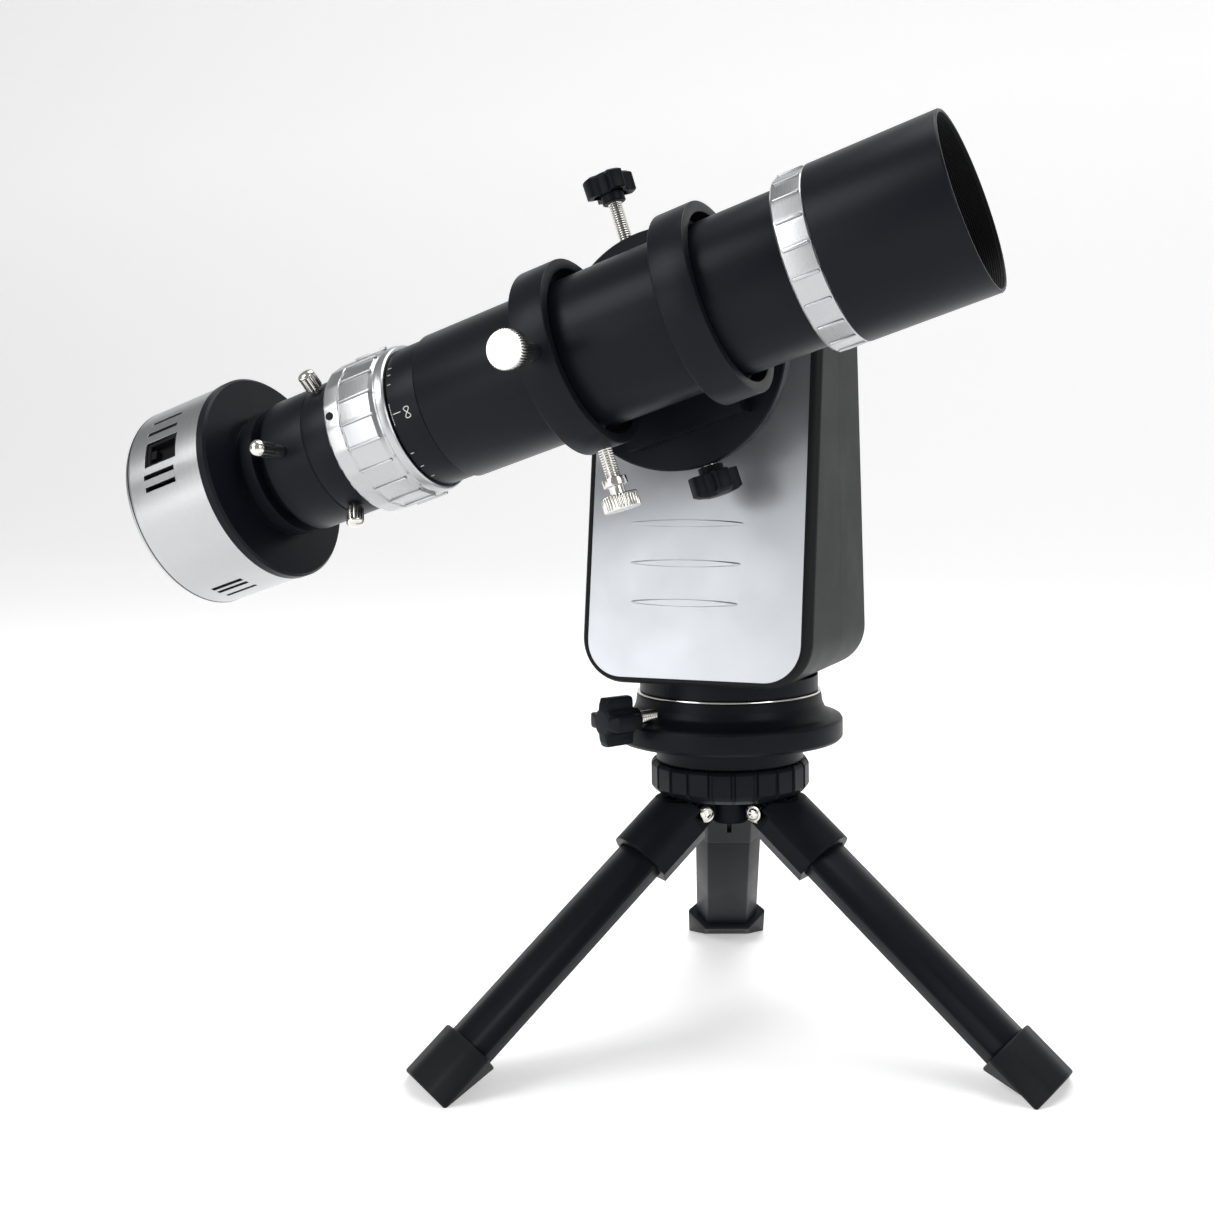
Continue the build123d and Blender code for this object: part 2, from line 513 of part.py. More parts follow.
def rib_face(height, half_long):
    """Lens-shaped outline of a cover rib, at a height above the ground."""
    middle = FRONT.offset(0.2).from_local_coords((RIB_X, (height - ARM_BOTTOM) / FRONT_LEAN))
    with BuildSketch(Plane(middle, x_dir=FRONT.x_dir, z_dir=FRONT.z_dir)) as rib:
        with BuildLine():
            ThreePointArc((-half_long, 0), (0, RIB_HALF_TALL), (half_long, 0))
            ThreePointArc((half_long, 0), (0, -RIB_HALF_TALL), (-half_long, 0))
        make_face()
    return rib.sketch


def arm_inside():
    motor_centre = Plane.XY.shift_origin((-AZ_REACH, 0, 0))
    with BuildPart() as arm_frame:
        turn(Plane.XZ, [(13.02, DRUM_LOW), (DRUM_R, DRUM_LOW), (DRUM_R, NECK_LOW),
                        (NECK_R, NECK_LOW), (NECK_R, ARM_BOTTOM - GAP), (33, ARM_BOTTOM - GAP),
                        (33, DRUM_FLOOR), (15.3, DRUM_FLOOR), (15.3, 182), (13.02, 182)])
        slab(Plane.XZ, (0, 247.5), 72, 175, -PLATE_BACK, -PLATE_FRONT)
        turn(HEAD, [(12, HOUSING_FRONT), (HOUSING_R, HOUSING_FRONT), (HOUSING_R, PLATE_BACK),
                    (12, PLATE_BACK)])
        turn(HEAD, [(0, HOUSING_FRONT - 1), (16.02, HOUSING_FRONT - 1), (16.02, PLATE_FRONT + GAP),
                    (12, PLATE_FRONT + GAP), (12, PLATE_BACK + 1), (0, PLATE_BACK + 1)],
             mode=Mode.SUBTRACT)
        rod(Plane.XZ.shift_origin((0, 0, ALT_HEIGHT - ALT_REACH)), 4.5, -20, -8, Mode.SUBTRACT)
        rod(motor_centre, 4, DRUM_LOW - 1, DRUM_FLOOR + 1, Mode.SUBTRACT)
        rod(Plane.XY, 13.02, DRUM_LOW - 1, 183, Mode.SUBTRACT)
    keep(arm_frame, "arm_frame")

    with BuildPart() as azimuth_bearings:
        for start in (DRUM_LOW + 0.5, 176):
            turn(Plane.XZ, [(AXLE_R + RUN, start), (13, start), (13, start + 5),
                            (AXLE_R + RUN, start + 5)])
    keep(azimuth_bearings, "azimuth_bearings")

    with BuildPart() as azimuth_motor:
        rod(motor_centre, 8.4, DRUM_FLOOR + GAP, DRUM_FLOOR + 30)
    keep(azimuth_motor, "azimuth_motor")

    with BuildPart() as azimuth_pinion:
        pinion = motor_centre.offset(PINION_Z)
        toothed(pinion, PINION_TEETH, 180 / PINION_TEETH, 0, GEAR_WIDE - 0.4)
        rod(pinion, 1.5, 1, DRUM_FLOOR - PINION_Z)
    keep(azimuth_pinion, "azimuth_pinion")

    with BuildPart() as circuit_board:
        slab(Plane.XZ, (0, 220), 56, 64, -21.6, -20)
        slab(Plane.XZ, (12, 232), 14, 14, -24.6, -21.6)
        slab(Plane.XZ, (-10, 236), 9, 9, -23.6, -21.6)
        slab(Plane.XZ, (BUTTON_X, SOCKET_Z), 9, 9, -31, -21.6)
        slab(Plane.XZ, (SOCKET_X, SOCKET_Z), 9, 11, -40.6, -21.6)
        rod(Plane.XZ.shift_origin((SOCKET_X, 0, SOCKET_Z)), 2.75, -41, -31, Mode.SUBTRACT)
    keep(circuit_board, "circuit_board")

    button = Plane.XZ.shift_origin((BUTTON_X, 0, SOCKET_Z))
    with BuildPart() as power_button:
        rod(button, 4.0, -42.6, -34)
        rod(button, 5.5, -38.3, -36.5)
    keep(power_button, "power_button")


# ---- base ----------------------------------------------------------------------------------------------
def base():
    skirt_top, flange_top, flange_low = 157.2, 145.6, 137.1
    with BuildPart() as base_skirt:
        with BuildSketch(Plane.XZ) as section:
            with BuildLine():
                Line((38, 138.4), (38, skirt_top))
                Line((38, skirt_top), (41.9, skirt_top))
                ThreePointArc((41.9, skirt_top), (43.2, 150.7), (47.6, 147.1))
                Polyline((47.6, 147.1), (51.0, flange_top + 0.4), (51.6, flange_top - 0.4),
                         (51.6, flange_low + 0.8), (50.8, flange_low - 0.6), (49.5, 135.6),
                         (36, 134.2), (BASE_NECK_R, 134.2), (BASE_NECK_R, BASE_LOW),
                         (12.05, BASE_LOW), (12.05, 138.4), (38, 138.4))
            make_face()
        revolve(section.sketch, axis=Axis.Z)
        rod(lock_knob_plane(), SCREW_R, 30, 60, Mode.SUBTRACT)
    keep(base_skirt, "base_skirt")

    with BuildPart() as trim_ring:
        turn(Plane.XZ, [(38.6, 157.3), (41.9, 157.3), (41.9, 157.9), (41.4, 158.3), (38.6, 158.3)])
    keep(trim_ring, "trim_ring")

    with BuildPart() as azimuth_axle:
        turn(Plane.XZ, [(4.8, BASE_LOW + GAP), (12, BASE_LOW + GAP), (12, 138.5), (22, 138.5),
                        (22, 141), (AXLE_R, 141), (AXLE_R, AXLE_TOP), (5.5, AXLE_TOP),
                        (5.5, 142), (4.8, 142)])
    keep(azimuth_axle, "azimuth_axle")

    with BuildPart() as azimuth_gear:
        toothed(Plane.XY.offset(WHEEL_Z), WHEEL_TEETH, 180, AXLE_R + 0.02, GEAR_WIDE)
    keep(azimuth_gear, "azimuth_gear")

    with BuildPart() as azimuth_knob:
        rod(lock_knob_plane(), SCREW_R - RUN, DRUM_R + 0.4, 54)
        rod(lock_knob_plane(), 5.0, 52, 57)
        knob_head(lock_knob_plane(), 57, 70)
        rod(lock_knob_plane(), 6.5, 70, 72)
    keep(azimuth_knob, "azimuth_knob")

    with BuildPart() as lock_ring:
        turn(Plane.XZ, [(6.05, LOCK_LOW), (32, LOCK_LOW), (LOCK_R, 114.6), (LOCK_R, 125.1),
                        (34.8, LOCK_TOP), (6.05, LOCK_TOP)])
    keep(lock_ring, "lock_ring")

    with BuildPart() as lock_stud:
        turn(Plane.XZ, [(0, HUB_LOW - 2), (8.5, HUB_LOW - 2), (8.5, HUB_LOW - 0.2),
                        (6, HUB_LOW - 0.2), (6, LOCK_TOP), (4.75, LOCK_TOP), (4.75, 139), (0, 139)])
    keep(lock_stud, "lock_stud")


def lock_knob_plane():
    """Plane across the azimuth lock screw, its normal pointing out of the base."""
    angle = radians(LOCK_KNOB_ANGLE)
    return Plane((0, 0, LOCK_KNOB_Z), x_dir=(0, 0, 1), z_dir=(cos(angle), sin(angle), 0))


# ---- tripod ----------------------------------------------------------------------------------------------
def leg_section(plane, grow=0.0):
    """Leg profile: a flat inner face, two sloping sides and an arched outer face."""
    with BuildSketch(plane) as section:
        with BuildLine():
            Polyline((-16.5, 96.8), (-10.3, 89.0), (10.3, 89.0), (16.5, 96.8))
            ThreePointArc((16.5, 96.8), (0, 104.8), (-16.5, 96.8))
        make_face()
        if grow:
            offset(amount=grow)
    return section.sketch


def socket_section(plane):
    with BuildSketch(plane) as section:
        with BuildLine():
            Polyline((-17, 98), (-17, 91), (-10.3, 84.5), (10.3, 84.5), (17, 91), (17, 98))
            ThreePointArc((17, 98), (0, 109), (-17, 98))
        make_face()
    return section.sketch


def foot_section(plane):
    with BuildSketch(plane) as section:
        with BuildLine():
            Polyline((-21.3, 97.1), (-11.8, 86.6), (11.8, 86.6), (21.3, 97.1))
            ThreePointArc((21.3, 97.1), (0, 107.5), (-21.3, 97.1))
        make_face()
    return section.sketch


def leg(number):
    name = LEG_NAMES[number]
    hinge = hinge_plane(number, 0)
    along = HINGE_OUT * cos(radians(SPLAY)) - HINGE_UP * sin(radians(SPLAY))
    outwards = HINGE_OUT * sin(radians(SPLAY)) + HINGE_UP * cos(radians(SPLAY))
    bore = leg_section(leg_plane(number, LEG_ENDS[0] - GAP), GAP)
    with BuildPart() as socket:
        extrude(socket_section(leg_plane(number, SOCKET_ENDS[0])),
                amount=SOCKET_ENDS[1] - SOCKET_ENDS[0])
        extrude(socket_section(leg_plane(number, SHOULDER_END)), amount=SOCKET_ENDS[0] - SHOULDER_END)
        slab(leg_plane(number, SHOULDER_END), (0, SHOULDER_LOW - 20), 60, 40, -1,
             SOCKET_ENDS[0] - SHOULDER_END, Mode.SUBTRACT)
        rod(hinge, CHEEK_R, -CHEEK_OUT, CHEEK_OUT)
        slab(leg_plane(number, along), (0, outwards), 2 * CHEEK_OUT, 2 * CHEEK_R, 0,
             SOCKET_ENDS[0] - along + 1)
        slab(leg_plane(number, along), (0, outwards), 2 * CHEEK_IN, 40, -12,
             SOCKET_ENDS[0] - along - 1, Mode.SUBTRACT)
        rod(hinge, BOLT_R + RUN, -20, 20, Mode.SUBTRACT)
        extrude(bore, amount=40, mode=Mode.SUBTRACT)
        slab(leg_plane(number, -34.0), (0, 84.5), 2.2, 4, -4.6, 4.6, Mode.SUBTRACT)
        split(bisect_by=Plane.XY.offset(SOCKET_TOP), keep=Keep.BOTTOM)
    keep(socket, f"leg_socket_{name}")

    with BuildPart() as tube:
        extrude(leg_section(leg_plane(number, LEG_ENDS[0])), amount=LEG_ENDS[1] - LEG_ENDS[0])
        extrude(leg_section(leg_plane(number, LEG_ENDS[0] - 1), -LEG_WALL),
                amount=LEG_ENDS[1] - LEG_ENDS[0] + 2, mode=Mode.SUBTRACT)
    keep(tube, f"leg_tube_{name}")

    with BuildPart() as foot:
        extrude(foot_section(leg_plane(number, FOOT_ENDS[0])), amount=FOOT_ENDS[1] - FOOT_ENDS[0])
        extrude(leg_section(leg_plane(number, FOOT_ENDS[0] - 1), GAP),
                amount=LEG_ENDS[1] - FOOT_ENDS[0] + 1 + GAP, mode=Mode.SUBTRACT)
        split(bisect_by=Plane.XY, keep=Keep.TOP)
    keep(foot, f"leg_foot_{name}")


def hub():
    with BuildPart() as tripod_hub:
        rod(Plane.XY, HUB_R, HUB_LOW, HUB_TOP)
        for number in range(3):
            hinge = hinge_plane(number, 0)
            slab(hinge, (-HINGE_OUT / 2, 0), HINGE_OUT, 10.4, -LUG_HALF, LUG_HALF)
            rod(hinge, 5.2, -LUG_HALF, LUG_HALF)
            rod(hinge, BOLT_R + 0.02, -9, 9, Mode.SUBTRACT)
        rod(Plane.XY, 6 + RUN, HUB_LOW - 1, HUB_TOP + 1, Mode.SUBTRACT)
    keep(tripod_hub, "tripod_hub")

    head = CHEEK_OUT + GAP
    with BuildPart() as hinge_bolts:
        for number in range(3):
            hinge = hinge_plane(number, 0)
            rod(hinge, BOLT_R, -head - 1, head + 4.4)
            rod(hinge, 4.6, -head - 2.8, -head)
    keep(hinge_bolts, "hinge_bolts")
    with BuildPart() as hinge_nuts:
        for number in range(3):
            with BuildSketch(hinge_plane(number, 0).offset(head)) as hexagon:
                RegularPolygon(4.6, 6)
                Circle(BOLT_R + 0.02, mode=Mode.SUBTRACT)
            extrude(hexagon.sketch, amount=4)
    keep(hinge_nuts, "hinge_nuts")


# ---- build -------------------------------------------------------------------------------------------------
os.makedirs("parts", exist_ok=True)
scope_tube()
scope_rings()
ring_thumbscrew("ring_screw_side", 0, (RING_R + 0.3, 54), (54, 60))
ring_thumbscrew("ring_screw_bottom", -90, (49, 53), (56, 62))
focuser()
holder_screws()
camera()
saddle()
clamp_knobs()
altitude_drive()
arm_shells()
arm_inside()
base()
hub()
for leg_number in range(3):
    leg(leg_number)
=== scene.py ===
import bpy
import json
from collections import namedtuple
from math import cos, pi, radians, sin, sqrt, tan
from mathutils import Matrix, Vector


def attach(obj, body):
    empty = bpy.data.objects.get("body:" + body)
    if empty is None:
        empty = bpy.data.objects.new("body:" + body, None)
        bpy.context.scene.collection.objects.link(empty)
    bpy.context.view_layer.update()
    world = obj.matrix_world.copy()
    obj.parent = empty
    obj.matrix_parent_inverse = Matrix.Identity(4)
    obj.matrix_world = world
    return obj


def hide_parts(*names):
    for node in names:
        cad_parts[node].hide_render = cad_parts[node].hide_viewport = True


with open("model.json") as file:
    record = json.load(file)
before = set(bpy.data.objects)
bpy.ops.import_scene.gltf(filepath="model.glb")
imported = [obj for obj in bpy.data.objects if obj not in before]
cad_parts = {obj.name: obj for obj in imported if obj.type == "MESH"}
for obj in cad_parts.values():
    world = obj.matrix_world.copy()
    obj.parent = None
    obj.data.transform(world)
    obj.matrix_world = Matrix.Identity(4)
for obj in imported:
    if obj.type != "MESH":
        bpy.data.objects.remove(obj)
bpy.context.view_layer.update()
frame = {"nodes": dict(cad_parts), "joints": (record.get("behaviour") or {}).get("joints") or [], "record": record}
joints = {j["name"]: j for j in frame["joints"]}

MM = 0.001

# ---- axes of the object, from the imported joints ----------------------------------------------
# A Round is an axis with two directions across it: point = origin + along * s
# + r * (zero * cos(angle) + quarter * sin(angle)), lengths in millimetres.
Round = namedtuple("Round", "origin along zero quarter")

UP = Vector((0, 0, 1))
RIGHT = Vector((1, 0, 0))
FRONT = Vector((0, -1, 0))
ALONG = Vector(joints["focus_turn"]["axis"]).normalized()
ACROSS = Vector((-ALONG.z, 0, ALONG.x))
ALT = Vector(joints["altitude"]["pos_m"]) / MM
CENTRE = Vector((0, joints["focus_turn"]["pos_m"][1] / MM, ALT.z))
TUBE = Round(CENTRE, ALONG, FRONT, ACROSS)
BASE = Round(Vector((0, 0, 0)), UP, RIGHT, -FRONT)
LEGS = ("rear", "left", "right")


def spot(axis, r, angle, s):
    """Point at a radius, an angle in degrees and a station along an axis, in millimetres."""
    a = radians(angle)
    return axis.origin + axis.along * s + (axis.zero * cos(a) + axis.quarter * sin(a)) * r


def branch(axis, angle, s):
    """Axis that leaves another one radially; its s is then the radius of the first."""
    a = radians(angle)
    out = axis.zero * cos(a) + axis.quarter * sin(a)
    return Round(axis.origin + axis.along * s, out, axis.along, out.cross(axis.along))


def joint_axis(name):
    """Axis of a packed joint."""
    along = Vector(joints[name]["axis"]).normalized()
    zero = along.orthogonal().normalized()
    return Round(Vector(joints[name]["pos_m"]) / MM, along, zero, along.cross(zero))


# ---- materials -----------------------------------------------------------------------------
def link(tree, a, b):
    tree.links.new(a, b)


def node(tree, kind, **inputs):
    made = tree.nodes.new(kind)
    for key, value in inputs.items():
        made.inputs[key.replace("_", " ")].default_value = value
    return made


def blend_colours(tree, fac, a, b):
    """Mix node between two colours; returns its colour output."""
    mix = tree.nodes.new("ShaderNodeMix")
    mix.data_type = "RGBA"
    link(tree, fac, mix.inputs[0])
    mix.inputs[6].default_value = (*a, 1)
    mix.inputs[7].default_value = (*b, 1)
    return mix.outputs[2]


def spread(tree, value, low, high):
    """Map a 0 to 1 value to a range."""
    ranged = tree.nodes.new("ShaderNodeMapRange")
    link(tree, value, ranged.inputs[0])
    ranged.inputs[1].default_value = 0.3
    ranged.inputs[2].default_value = 0.7
    ranged.inputs[3].default_value = low
    ranged.inputs[4].default_value = high
    return ranged.outputs[0]


def surface(name, colour, tone, rough, metallic=0.0, specular=0.5, grain=2500.0, bump=0.05,
            lathe_axis=None, lines=6000.0, round_edge=0.25, coat=0.0):
    """Procedural finish: a soft colour change, uneven gloss, a fine grain and, on turned
    pieces, faint tool lines square to the lathe's axis."""
    material = bpy.data.materials.new(name)
    material.use_nodes = True
    tree = material.node_tree
    shader = tree.nodes["Principled BSDF"]
    place = tree.nodes.new("ShaderNodeTexCoord").outputs["Object"]
    cloud = node(tree, "ShaderNodeTexNoise", Scale=28.0, Detail=4.0, Roughness=0.6)
    link(tree, place, cloud.inputs["Vector"])
    link(tree, blend_colours(tree, cloud.outputs[0], colour, tone), shader.inputs["Base Color"])
    fine = node(tree, "ShaderNodeTexNoise", Scale=grain, Detail=3.0, Roughness=0.65)
    link(tree, place, fine.inputs["Vector"])
    height = fine.outputs[0]
    gloss = cloud.outputs[0]
    if lathe_axis is not None:
        dot = tree.nodes.new("ShaderNodeVectorMath")
        dot.operation = "DOT_PRODUCT"
        link(tree, place, dot.inputs[0])
        dot.inputs[1].default_value = lathe_axis
        scaled = tree.nodes.new("ShaderNodeMath")
        scaled.operation = "MULTIPLY"
        link(tree, dot.outputs["Value"], scaled.inputs[0])
        scaled.inputs[1].default_value = lines
        ripple = node(tree, "ShaderNodeTexNoise", Scale=1.0, Detail=4.0, Roughness=0.7)
        ripple.noise_dimensions = "1D"
        link(tree, scaled.outputs[0], ripple.inputs["W"])
        both = tree.nodes.new("ShaderNodeMath")
        both.operation = "MULTIPLY_ADD"
        link(tree, ripple.outputs[0], both.inputs[0])
        both.inputs[1].default_value = 0.7
        link(tree, fine.outputs[0], both.inputs[2])
        height = both.outputs[0]
        gloss = ripple.outputs[0]
    link(tree, spread(tree, gloss, rough - 0.05, rough + 0.05), shader.inputs["Roughness"])
    shader.inputs["Metallic"].default_value = metallic
    shader.inputs["Specular IOR Level"].default_value = specular
    shader.inputs["Coat Weight"].default_value = coat
    shader.inputs["Coat Roughness"].default_value = 0.25
    bumps = node(tree, "ShaderNodeBump", Strength=bump, Distance=0.0002)
    link(tree, height, bumps.inputs["Height"])
    if round_edge:
        soft = node(tree, "ShaderNodeBevel", Radius=round_edge * MM)
        soft.samples = 4
        link(tree, soft.outputs[0], bumps.inputs["Normal"])
    link(tree, bumps.outputs[0], shader.inputs["Normal"])
    return material


def glass(name, colour):
    """Clear glass with a faint tint."""
    material = surface(name, colour, colour, 0.06, specular=0.6, bump=0.0, round_edge=0)
    shader = material.node_tree.nodes["Principled BSDF"]
    shader.inputs["Transmission Weight"].default_value = 0.9
    shader.inputs["IOR"].default_value = 1.5
    return material


TURN = tuple(ALONG)
ANODISED = ((0.0036, 0.0046, 0.0078), (0.0052, 0.0064, 0.0102))
PAINT = ((0.0036, 0.0044, 0.0070), (0.0052, 0.0062, 0.0088))
MATERIALS = {
    "black_anodised": surface("black_anodised", *ANODISED, 0.38, specular=0.11, grain=5200,
                              bump=0.10),
    "turned_black": surface("turned_black", *ANODISED, 0.36, specular=0.13, grain=5200,
                            bump=0.07, lathe_axis=TURN),
    # Flat black for inside surfaces and seams; on the camera board it is painted shade.
    "inner_black": surface("inner_black", (0.003, 0.003, 0.004), (0.005, 0.005, 0.006), 0.6,
                           specular=0.12, bump=0.1),
    "satin_aluminium": surface("satin_aluminium", (0.43, 0.44, 0.455), (0.50, 0.505, 0.51), 0.30,
                               metallic=1.0, grain=6000, bump=0.04, lathe_axis=TURN, lines=9000),
    "silver_paint": surface("silver_paint", (0.46, 0.48, 0.51), (0.52, 0.54, 0.565), 0.36,
                            metallic=0.85, grain=9000, bump=0.03, coat=0.1),
    "dark_shell": surface("dark_shell", (0.0095, 0.0108, 0.0112), (0.0130, 0.0145, 0.0150), 0.46,
                          specular=0.10, grain=3800, bump=0.16),
    "black_moulding": surface("black_moulding", (0.0036, 0.0045, 0.0074),
                              (0.0054, 0.0064, 0.0096), 0.40, specular=0.12, grain=3600, bump=0.12),
    "black_paint": surface("black_paint", *PAINT, 0.38, specular=0.10, grain=3000, bump=0.06),
    "socket_black": surface("socket_black", *PAINT, 0.38, specular=0.10, grain=3000, bump=0.06,
                            round_edge=1.2),
    "nickel": surface("nickel", (0.66, 0.65, 0.61), (0.74, 0.73, 0.69), 0.17, metallic=1.0,
                      grain=7000, bump=0.02, round_edge=0.1),
    "steel": surface("steel", (0.55, 0.55, 0.56), (0.62, 0.62, 0.62), 0.30, metallic=1.0,
                     grain=6000, bump=0.04, round_edge=0.1),
    "brass": surface("brass", (0.72, 0.54, 0.22), (0.80, 0.62, 0.30), 0.30, metallic=1.0,
                     grain=6000, bump=0.05, round_edge=0),
    "rubber": surface("rubber", (0.0045, 0.0050, 0.0070), (0.0075, 0.0080, 0.0095), 0.50,
                      specular=0.16, grain=2600, bump=0.22),
    "lens_glass": glass("lens_glass", (0.90, 0.97, 0.95)),
    "board": surface("board", (0.012, 0.07, 0.03), (0.018, 0.10, 0.045), 0.3, specular=0.5,
                     bump=0.05, round_edge=0),
    "motor": surface("motor", (0.30, 0.30, 0.31), (0.38, 0.38, 0.39), 0.35, metallic=1.0,
                     bump=0.04, round_edge=0),
    "white_mark": surface("white_mark", (0.62, 0.62, 0.60), (0.70, 0.70, 0.68), 0.5, round_edge=0),
}
SLOTS = {m["slot"] for m in frame["record"]["materials"]}

# CAD nodes that get another finish than their material slot's; the camera board gets near-black as painted shade,
# so the inside of the port reads as a dark hole.
OWN_FINISH_AND_SHADE = {"camera_board": "inner_black", "lock_stud": "black_paint",
              "camera_front": "turned_black"}
OWN_FINISH_AND_SHADE |= {f"leg_socket_{name}": "socket_black" for name in LEGS}


def dress_cad():
    """Give every carried-over CAD node its finish (near-black painted shade on the camera board) and smooth
    shading over its round faces.
    """
    slots = {s["node"]: s["material_slot"] for s in frame["record"]["subparts"]}
    for name, thing in frame["nodes"].items():
        thing.data.materials.clear()
        thing.data.materials.append(MATERIALS[OWN_FINISH_AND_SHADE.get(name, slots[name])])
        thing.data.polygons.foreach_set("use_smooth", [True] * len(thing.data.polygons))
        thing.data.set_sharp_from_angle(angle=radians(28))


# ---- mesh building ---------------------------------------------------------------------------
def piece(name, verts, faces, finish, body, slot=None, stands_for=(), sharp=30.0):
    """Finished piece from points in millimetres, riding on a body."""
    mesh = bpy.data.meshes.new(name)
    mesh.from_pydata([tuple(Vector(v) * MM) for v in verts], [], faces)
    mesh.validate()
    mesh.update()
    mesh.polygons.foreach_set("use_smooth", [True] * len(mesh.polygons))
    mesh.set_sharp_from_angle(angle=radians(sharp))
    mesh.materials.append(MATERIALS[finish])
    thing = bpy.data.objects.new(name, mesh)
    bpy.context.scene.collection.objects.link(thing)
    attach(thing, body)
    if stands_for:
        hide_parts(*stands_for)
    slot or (finish if finish in SLOTS else "black_anodised")
    return thing


def soften(outline, radius=0.3, steps=3):
    """Round the corners of a closed outline of (r, s) or (r, s, corner radius) points."""
    count = len(outline)
    result = []
    for i, point in enumerate(outline):
        here = Vector(point[:2])
        wanted = point[2] if len(point) > 2 else radius
        before = Vector(outline[i - 1][:2]) - here
        after = Vector(outline[(i + 1) % count][:2]) - here
        half_turn = before.angle(after, pi) / 2
        if wanted <= 0 or here.x <= 1e-6 or half_turn > radians(88):
            result.append(here)
            continue
        reach = min(wanted / tan(half_turn), before.length * 0.45, after.length * 0.45)
        curve = reach * tan(half_turn)
        middle = (before.normalized() + after.normalized()).normalized()
        centre = here + middle * (curve / sin(half_turn))
        start = here + before.normalized() * reach - centre
        end = here + after.normalized() * reach - centre
        turn = start.angle_signed(end)
        for k in range(steps + 1):
            a = -turn * k / steps
            result.append(centre + Vector((start.x * cos(a) - start.y * sin(a),
                                           start.x * sin(a) + start.y * cos(a))))
    return result


def turned(axis, outline, segments=128, shape=None):
    """Points and faces of a piece turned about an axis; shape(angle, r, s) may move r and s."""
    verts, faces, rows = [], [], []
    for r, s in outline:
        if r < 1e-6:
            rows.append([len(verts)])
            verts.append(spot(axis, 0, 0, s))
            continue
        row = []
        for k in range(segments):
            angle = 360 * k / segments
            r1, s1 = shape(angle, r, s) if shape else (r, s)
            row.append(len(verts))
            verts.append(spot(axis, r1, angle, s1))
        rows.append(row)
    flip = axis.zero.cross(axis.quarter).dot(axis.along) < 0
    area = sum(a[0] * b[1] - b[0] * a[1] for a, b in zip(outline, outline[1:] + outline[:1]))
    flip = flip != (area < 0)
    for a, b in zip(rows, rows[1:] + rows[:1]):
        if len(a) == 1 and len(b) == 1:
            continue
        for k in range(segments):
            n = (k + 1) % segments
            quad = [a[k % len(a)], a[n % len(a)], b[n % len(b)], b[k % len(b)]]
            face = list(dict.fromkeys(quad))
            faces.append(face if flip else face[::-1])
    return verts, faces


def gather(*parts):
    """Join several (points, faces) lists into one."""
    verts, faces = [], []
    for some, links in parts:
        shift = len(verts)
        verts += some
        faces += [[i + shift for i in f] for f in links]
    return verts, faces


def prism(section, low, high, at, edge=0.3, steps=2):
    """Solid of a closed outline (x, y) between two heights, with rounded rims; at(x, y, h)
    gives the place in space."""
    count = len(section)
    normals = []
    for i in range(count):
        a, b, c = (Vector(section[(i + k) % count]) for k in (-1, 0, 1))
        n1 = Vector(((b - a).y, -(b - a).x)).normalized()
        n2 = Vector(((c - b).y, -(c - b).x)).normalized()
        mid = (n1 + n2).normalized()
        normals.append(mid / max(0.4, mid.dot(n1)))
    area = sum(section[i - 1][0] * section[i][1] - section[i][0] * section[i - 1][1]
               for i in range(count))
    sign = 1 if area > 0 else -1
    layers = []
    for k in range(steps + 1):
        a = pi / 2 * k / steps
        layers.append((edge * (1 - sin(a)), low + edge * (1 - cos(a))))
    layers += [(inset, high + low - h) for inset, h in reversed(layers)]
    verts = []
    for inset, h in layers:
        verts += [at(p[0] - n.x * inset * sign, p[1] - n.y * inset * sign, h)
                  for p, n in zip(section, normals)]
    faces = [list(range(count))[::-1], [count * (len(layers) - 1) + i for i in range(count)]]
    for layer in range(len(layers) - 1):
        for i in range(count):
            j = (i + 1) % count
            faces.append([layer * count + i, layer * count + j,
                          (layer + 1) * count + j, (layer + 1) * count + i])
    handed = (at(1, 0, 0) - at(0, 0, 0)).cross(at(0, 1, 0) - at(0, 0, 0)).dot(
        at(0, 0, 1) - at(0, 0, 0)) > 0
    if handed != (sign > 0):
        faces = [f[::-1] for f in faces]
    return verts, faces


def bend(points, radius, steps=6):
    """Outline with rounded corners, from (x, y) or (x, y, corner radius) points."""
    shifted = [(p[0] + 1000, *p[1:]) for p in points]
    return [(p.x - 1000, p.y) for p in soften(shifted, radius, steps)]


# ---- guide scope ------------------------------------------------------------------------------
# Stations are millimetres along the tube's axis from CENTRE; angles start at FRONT.
RIDGES = 20
CELL_RIDGE, GRIP_RIDGE = 1.5, 5
SHIELD_LIP, SHIELD_SEAT = 143.3, 100.3
THREADS, THREAD_PITCH = 60, 0.4
RING_BANDS = {"ring_front": (34.7, 49.3), "ring_rear": (-24.6, -9.7)}
TUBE_R, SHIELD_R, RING_R = 30, 33.7, 37.6
MARK_R, MARK_LOW, MARK_LINE = 29.03, -86.8, -86.2
INFINITY_AT = (-79.8, -2.6)
SET_SCREW = (15.4, -113.3)  # angle and station


def ridge(axis, angle, r, low, high, half_wide, tall):
    """Rounded bar on a round surface, along its axis."""
    a = radians(angle)
    out = axis.zero * cos(a) + axis.quarter * sin(a)
    side = axis.quarter * cos(a) - axis.zero * sin(a)

    def at(x, y, h):
        return axis.origin + axis.along * x + out * (r + h) + side * y

    outline = bend([(low, -half_wide), (high, -half_wide), (high, half_wide), (low, half_wide)],
                   half_wide * 0.9, 3)
    return prism(outline, -0.6, tall, at, edge=min(0.3, tall * 0.5))


def faceted(first, low, flats=RIDGES):
    """Shape that gives rows at or beyond a radius flats, with the first corner at an angle."""
    half = 180 / flats

    def shape(angle, r0, s0):
        if r0 < low:
            return r0, s0
        off_middle = (angle - first) % (2 * half) - half
        return r0 * cos(radians(half)) / cos(radians(off_middle)), s0
    return shape


